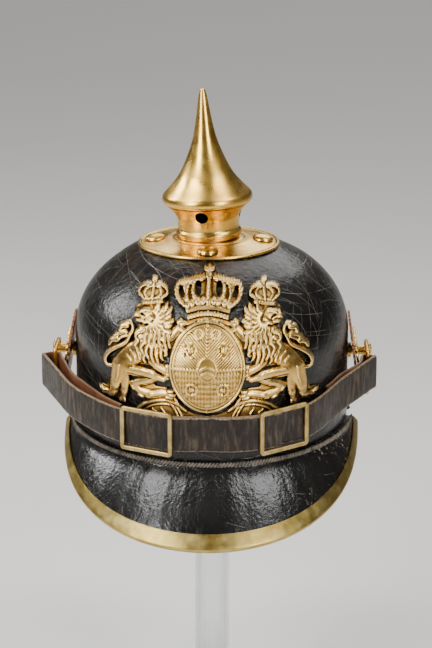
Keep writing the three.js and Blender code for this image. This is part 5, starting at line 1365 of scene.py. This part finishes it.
points, faces, depth = plate_mesh()
plate = make("stamped_front_plate", points, faces, plate_brass, "plate_brass", ["front_plate"],
             attributes={"hollow_tarnish_and_shade": ("FLOAT", depth)}, sharp=None)
print("plate", len(plate.data.polygons), "faces, highest relief", round(float(relief.max()), 2), "mm")

# %% [markdown]
# The side bosses are two toothed rosettes on one lug: a wide coppery one next to the leather and a
# small gilt one on top, stamped with rays and rings. A disc with a bump pattern would keep a round
# outline, so the teeth, rays and rings are all in the mesh, as rows round a bore.

# %% Toothed rosettes
SIDE_Z, FACE_X, TILT = 44.0, 91.0, math.radians(8)
LARGE_R, LARGE_TEETH, SMALL_R, SMALL_TEETH = 26.0, 36, 15.5, 24
BORE_R, DISC_SHEET, TOOTH_DEPTH, RING_RISE, RAY_RISE = 3.6, 1.2, 1.1, 0.3, 0.35

def rosette(name, radius, teeth, face_x, side, material, slot, node):
    """Thin disc with a toothed edge, raised rings and rays, on a bore."""
    around = teeth * 10
    turn = np.linspace(0, 2 * np.pi, around, endpoint=False)
    ray = 0.5 + 0.5 * np.cos(turn * teeth)
    rows_front, rows_back = [], []
    for share in np.linspace(0, 1, 30):
        r = BORE_R + (radius - BORE_R) * share
        edge_r = r - (1 - ray) * TOOTH_DEPTH * np.clip((share - 0.86) / 0.14, 0, 1)
        ringed = RING_RISE * sum(math.exp(-((share - ring) / 0.03) ** 2) for ring in (0.3, 0.62))
        height = (DISC_SHEET + ringed + RAY_RISE * ray * np.clip((share - 0.3) / 0.5, 0, 1)
                  - 0.25 * (share > 0.97))
        rows_front.append(np.stack([height + 0 * turn, edge_r * np.cos(turn), edge_r * np.sin(turn)], -1))
        rows_back.append(np.stack([0 * turn, edge_r * np.cos(turn), edge_r * np.sin(turn)], -1))
    points, faces = skin(np.array(rows_front + rows_back[::-1]))
    lean = np.array(Matrix.Rotation(-TILT, 3, "Y"))
    points = points @ lean.T + [face_x, 0, SIDE_Z]
    if side < 0:
        points = points * [-1, -1, 1]
    return make(name, points, faces, material, slot, [node], sharp=50)

print("rosettes of", LARGE_TEETH, "and", SMALL_TEETH, "teeth, at", SIDE_Z, "mm above the rim")

# %% [markdown]
# The lug is a turned stem with a button head, which goes through both rosettes. A ring bent from
# brass wire hangs on it and holds the strap. One function bends a bar round corners, and the
# buckles use it too, with a squarer bar. Each side is made as one set: both rosettes, lug and ring.

# %% Side sets of rosettes, lugs and strap rings
def wire_frame(name, corners, radius, bend, material, slot, node, square=False, flat=1.0):
    """A bar bent into a closed frame with rounded corners, from its corner points in order."""
    corners = np.asarray(corners, float)
    path = []
    for before, corner, after in zip(np.roll(corners, 1, 0), corners, np.roll(corners, -1, 0)):
        a, b = before - corner, after - corner
        a, b = a / np.linalg.norm(a), b / np.linalg.norm(b)
        for t in np.linspace(0, 1, 9):
            path.append(corner + a * bend * (1 - t) ** 2 + b * bend * t ** 2)
    path = np.array(path)
    ahead = np.roll(path, -1, 0) - np.roll(path, 1, 0)
    ahead /= np.linalg.norm(ahead, axis=1)[:, None]
    normal = np.cross(corners[1] - corners[0], corners[2] - corners[1])
    normal /= np.linalg.norm(normal)
    side = np.cross(ahead, normal)
    turn = np.linspace(0, 2 * np.pi, 24 if square else 16, endpoint=False)
    power = 0.42 if square else 1.0
    c = np.sign(np.cos(turn)) * np.abs(np.cos(turn)) ** power
    s = np.sign(np.sin(turn)) * np.abs(np.sin(turn)) ** power
    rows = (path[:, None] + side[:, None] * (radius * c)[None, :, None]
            + normal * (radius * flat * s)[None, :, None])
    return make(name, *skin(rows), material, slot, [node], sharp=50)

def strap_level(azimuth):
    """Height of the strap's middle at an azimuth: it rises towards the rings."""
    return 23.5 + 14.4 * (np.minimum(azimuth, 80) / 90) ** 1.9

RING_X, RING_HALF, WIRE_R, WIRE_BEND = 100.0, 13.8, 1.3, 1.6
RING_BACK, RING_FRONT = 5.3, -20
LUG_IN, LUG_FOOT, STEM_R, COLLAR_R = 82.2, 2.2, 3, 5
COLLAR_FROM, COLLAR_TO, BUTTON_H = 88.3, 90.0, 2.0
ring_level = float(strap_level(80))
for name, side in (("left", -1), ("right", 1)):
    rosette(f"large_rosette_{name}", LARGE_R, LARGE_TEETH, FACE_X, side, copper_brass, "copper_brass",
            f"large_cockade_{name}")
    rosette(f"small_rosette_{name}", SMALL_R, SMALL_TEETH, FACE_X + 2.0, side, spike_brass, "spike_brass",
            f"small_cockade_{name}")
    low_corner, high_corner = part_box(f"lug_{name}")
    outer = (high_corner[0] if side > 0 else -low_corner[0]) / MM
    button = [(COLLAR_R * math.cos(t), outer - 1.5 + 1.5 * math.sin(t))
              for t in np.linspace(0, math.pi / 2, 8)]
    stem = [(0, LUG_IN), (COLLAR_R, LUG_IN), (COLLAR_R, LUG_IN + LUG_FOOT), (STEM_R, LUG_IN + LUG_FOOT),
            (STEM_R, COLLAR_FROM), (COLLAR_R, COLLAR_FROM), (COLLAR_R, COLLAR_TO), (STEM_R, COLLAR_TO),
            (STEM_R, outer - BUTTON_H), (4.8, outer - BUTTON_H)] + button
    points, faces = lathe(stem, 48)
    points = np.stack([points[:, 2], points[:, 1], points[:, 0] + SIDE_Z], -1) * [side, 1, 1]
    make(f"side_lug_{name}", points, faces, spike_brass, "spike_brass", [f"lug_{name}"], sharp=50)
    low, high = ring_level - RING_HALF, ring_level + RING_HALF
    corners = [(side * RING_X, y, z) for y, z in ((RING_FRONT, low), (RING_BACK, low), (RING_BACK, high),
                                                  (RING_FRONT, high))]
    wire_frame(f"wire_ring_{name}", corners, WIRE_R, WIRE_BEND, spike_brass, "spike_brass",
               f"strap_ring_{name}")
print("rings at level", round(ring_level, 1), "mm above the rim")

# %% [markdown]
# The chin strap is two straps of bridle leather. Each is looped through a ring and doubled back,
# and in front the left one lies over the right one, between two square buckles. Cloth simulation
# would let it sag, but this leather has stiffened, so each strap is a rounded flat section swept
# along a smooth plan with a slow wave in it.

# %% Chin strap
STRAP_W, STRAP_T = 21.5, 2.4
# Rows hold the azimuth and how far the strap's outer face stands off the skull.
LEFT_ROWS = [(0, 5.6), (6, 7.5), (13, 9.4), (23, 11), (34, 12.6), (46, 13.6), (57, 15.2), (68, 16.2)]
RIGHT_ROWS = [(0, 5.6), (6, 7.5), (13, 9.4), (20, 10.6), (27, 11.2), (37, 10.9), (46, 8.6), (55, 6.3),
              (64, 7)]
LEFT_BACK = [(66, 8.6), (58, 6.4), (50, 5.8), (42, 6.6), (34, 7.4)]
RIGHT_BACK = [(74.5, 10.6), (66, 3.6), (60, 2.9), (54, 2.9)]
LEFT_LOOP, RIGHT_LOOP, STRAP_SIDES = 5.4, 3.6, 40

def strap_plan(side, row):
    """Place of the strap's middle line in plan, for one row of the table."""
    azimuth, face = row
    a, offset = math.radians(azimuth), face - STRAP_T / 2
    return [side * (HALF_W + offset) * math.sin(a), -(HALF_L + offset) * math.cos(a)]

def loop_plan(side, radius):
    """Half turn of the strap round its ring, in plan."""
    centre = RING_X - RIGHT_LOOP + radius
    return [[side * (centre + radius * math.cos(t)), RING_FRONT + radius * math.sin(t)]
            for t in np.linspace(0, math.pi, 9)]

def strap(name, plan, node, facing=1):
    """A rounded flat section swept along a plan, with the distances stored for its wear."""
    line = curve_through(plan, 8)
    ahead = np.gradient(line, axis=0)
    ahead /= np.linalg.norm(ahead, axis=1)[:, None]
    side = np.stack([ahead[:, 1], -ahead[:, 0]], -1)
    run = np.concatenate([[0], np.cumsum(np.linalg.norm(np.diff(line, axis=0), axis=1))])
    level = strap_level(np.degrees(np.arctan2(np.abs(line[:, 0]) / HALF_W, -line[:, 1] / HALF_L)))
    turn = np.linspace(0, 2 * np.pi, STRAP_SIDES, endpoint=False)
    flat = lambda v, power: np.sign(v) * np.abs(v) ** power
    up, out = flat(np.cos(turn), 0.3) * STRAP_W / 2, flat(np.sin(turn), 0.42) * STRAP_T / 2
    wave = 0.35 * np.sin(run / 23.0) + 0.18 * np.sin(run / 9.0)
    rows = np.zeros((len(line), STRAP_SIDES, 3))
    rows[:, :, :2] = line[:, None] + side[:, None] * out[None, :, None]
    swell = 1 + 0.006 * np.sin(run / 13.0)
    rows[:, :, 2] = level[:, None] + up[None] * swell[:, None] + wave[:, None] * 0.4
    flow = np.stack(np.broadcast_arrays(run[:, None] * MM, up[None] * MM, facing * np.sin(turn)[None]), -1)
    points, faces = skin(rows, True, False)
    last, end = (len(line) - 1) * STRAP_SIDES, STRAP_SIDES - 1
    caps = [[s + j, s + j + 1, s + end - 1 - j, s + end - j]
            for s in (0, last) for j in range(STRAP_SIDES // 2 - 1)]
    return make(name, points, np.vstack([faces, caps]), strap_leather, "strap_leather", [node],
                attributes={"flow": ("FLOAT_VECTOR", flow.reshape(-1, 3))}, sharp=60)

left_plan = ([strap_plan(1, r) for r in RIGHT_ROWS[1:5]][::-1] + [strap_plan(-1, r) for r in LEFT_ROWS]
             + loop_plan(-1, LEFT_LOOP) + [strap_plan(-1, r) for r in LEFT_BACK])
under = STRAP_T + 0.3
behind = lambda rows, side: [strap_plan(side, (a, f - under)) for a, f in rows]
right_plan = (behind(LEFT_ROWS[1:3], -1)[::-1] + behind(RIGHT_ROWS[:5], 1)
              + [strap_plan(1, r) for r in RIGHT_ROWS[5:]] + loop_plan(1, RIGHT_LOOP)
              + [strap_plan(1, r) for r in RIGHT_BACK])
strap("left_strap", left_plan, "chin_strap_left", -1)
strap("right_strap", right_plan, "chin_strap_right")
print("straps from", len(left_plan), "and", len(right_plan), "points")

# %% [markdown]
# Each buckle is a square-cornered frame of flat brass bar that bears on the strap. Its two ends are
# found on the strap's own face, so that it lies along the leather wherever it is pushed.

# %% Buckles
BUCKLE_HALF, BAR_R, BAR_BEND, BAR_FLAT = 17, 1.35, 1.5, 0.82
BUCKLE_LIFT = 1.8 + 1.1
LEFT_BUCKLE_AT, RIGHT_BUCKLE_AT = 21.6, 27.8

def face_at(rows, azimuth):
    """How far the strap's outer face stands off the skull at an azimuth."""
    return float(np.interp(azimuth, *np.array(rows).T))

def buckle(name, side, azimuth, rows, node):
    """Square-barred frame that bears on the strap."""
    reach = math.degrees(BUCKLE_HALF / (HALF_L + 6))
    stops = (azimuth - reach, azimuth + reach)
    ends = [np.array(strap_plan(side, (stop, face_at(rows, stop) + BUCKLE_LIFT))) for stop in stops]
    if side < 0:
        ends = ends[::-1]
    levels = [float(strap_level(math.degrees(math.atan2(abs(e[0]) / HALF_W, -e[1] / HALF_L))))
              for e in ends]
    a, b = (np.array([*e, z]) for e, z in zip(ends, levels))
    along = (b - a) / np.linalg.norm(b - a)
    mid, upright = (a + b) / 2, np.array([0, 0, 1.0])
    half_x, half_z = BUCKLE_HALF - BAR_R, (STRAP_W + 0.6) / 2 + BAR_R
    signs = ((-1, -1), (1, -1), (1, 1), (-1, 1))
    corners = [mid + along * (x * half_x) + upright * (z * half_z) for x, z in signs]
    return wire_frame(name, corners, BAR_R, BAR_BEND, buckle_brass, "plate_brass", node, square=True,
                      flat=BAR_FLAT)

buckle("square_buckle_left", -1, LEFT_BUCKLE_AT, LEFT_ROWS, "buckle_left")
buckle("square_buckle_right", 1, RIGHT_BUCKLE_AT, RIGHT_ROWS, "buckle_right")
print("buckles", 2 * BUCKLE_HALF, "mm wide")

# %% [markdown]
# Two nuts inside the skull hold the front plate's posts. They are plain hexagons in life too, so
# they keep the frame's own solids and only get the brass finish. The pale floor carries the stand
# and belongs to no piece.

# %% Nuts, floor and end
for name in ("plate_nut_1", "plate_nut_2"):
    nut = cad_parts[name]
    nut.data.materials.clear()
    nut.data.materials.append(spike_brass)
ground = bpy.data.meshes.new("floor")
ground.from_pydata([(-14, -14, 0), (14, -14, 0), (14, 14, 0), (-14, 14, 0)], [], [(0, 1, 2, 3)])
ground.materials.append(pale_board)
floor = bpy.data.objects.new("floor", ground)
bpy.context.scene.collection.objects.link(floor)
bpy.context.view_layer.update()
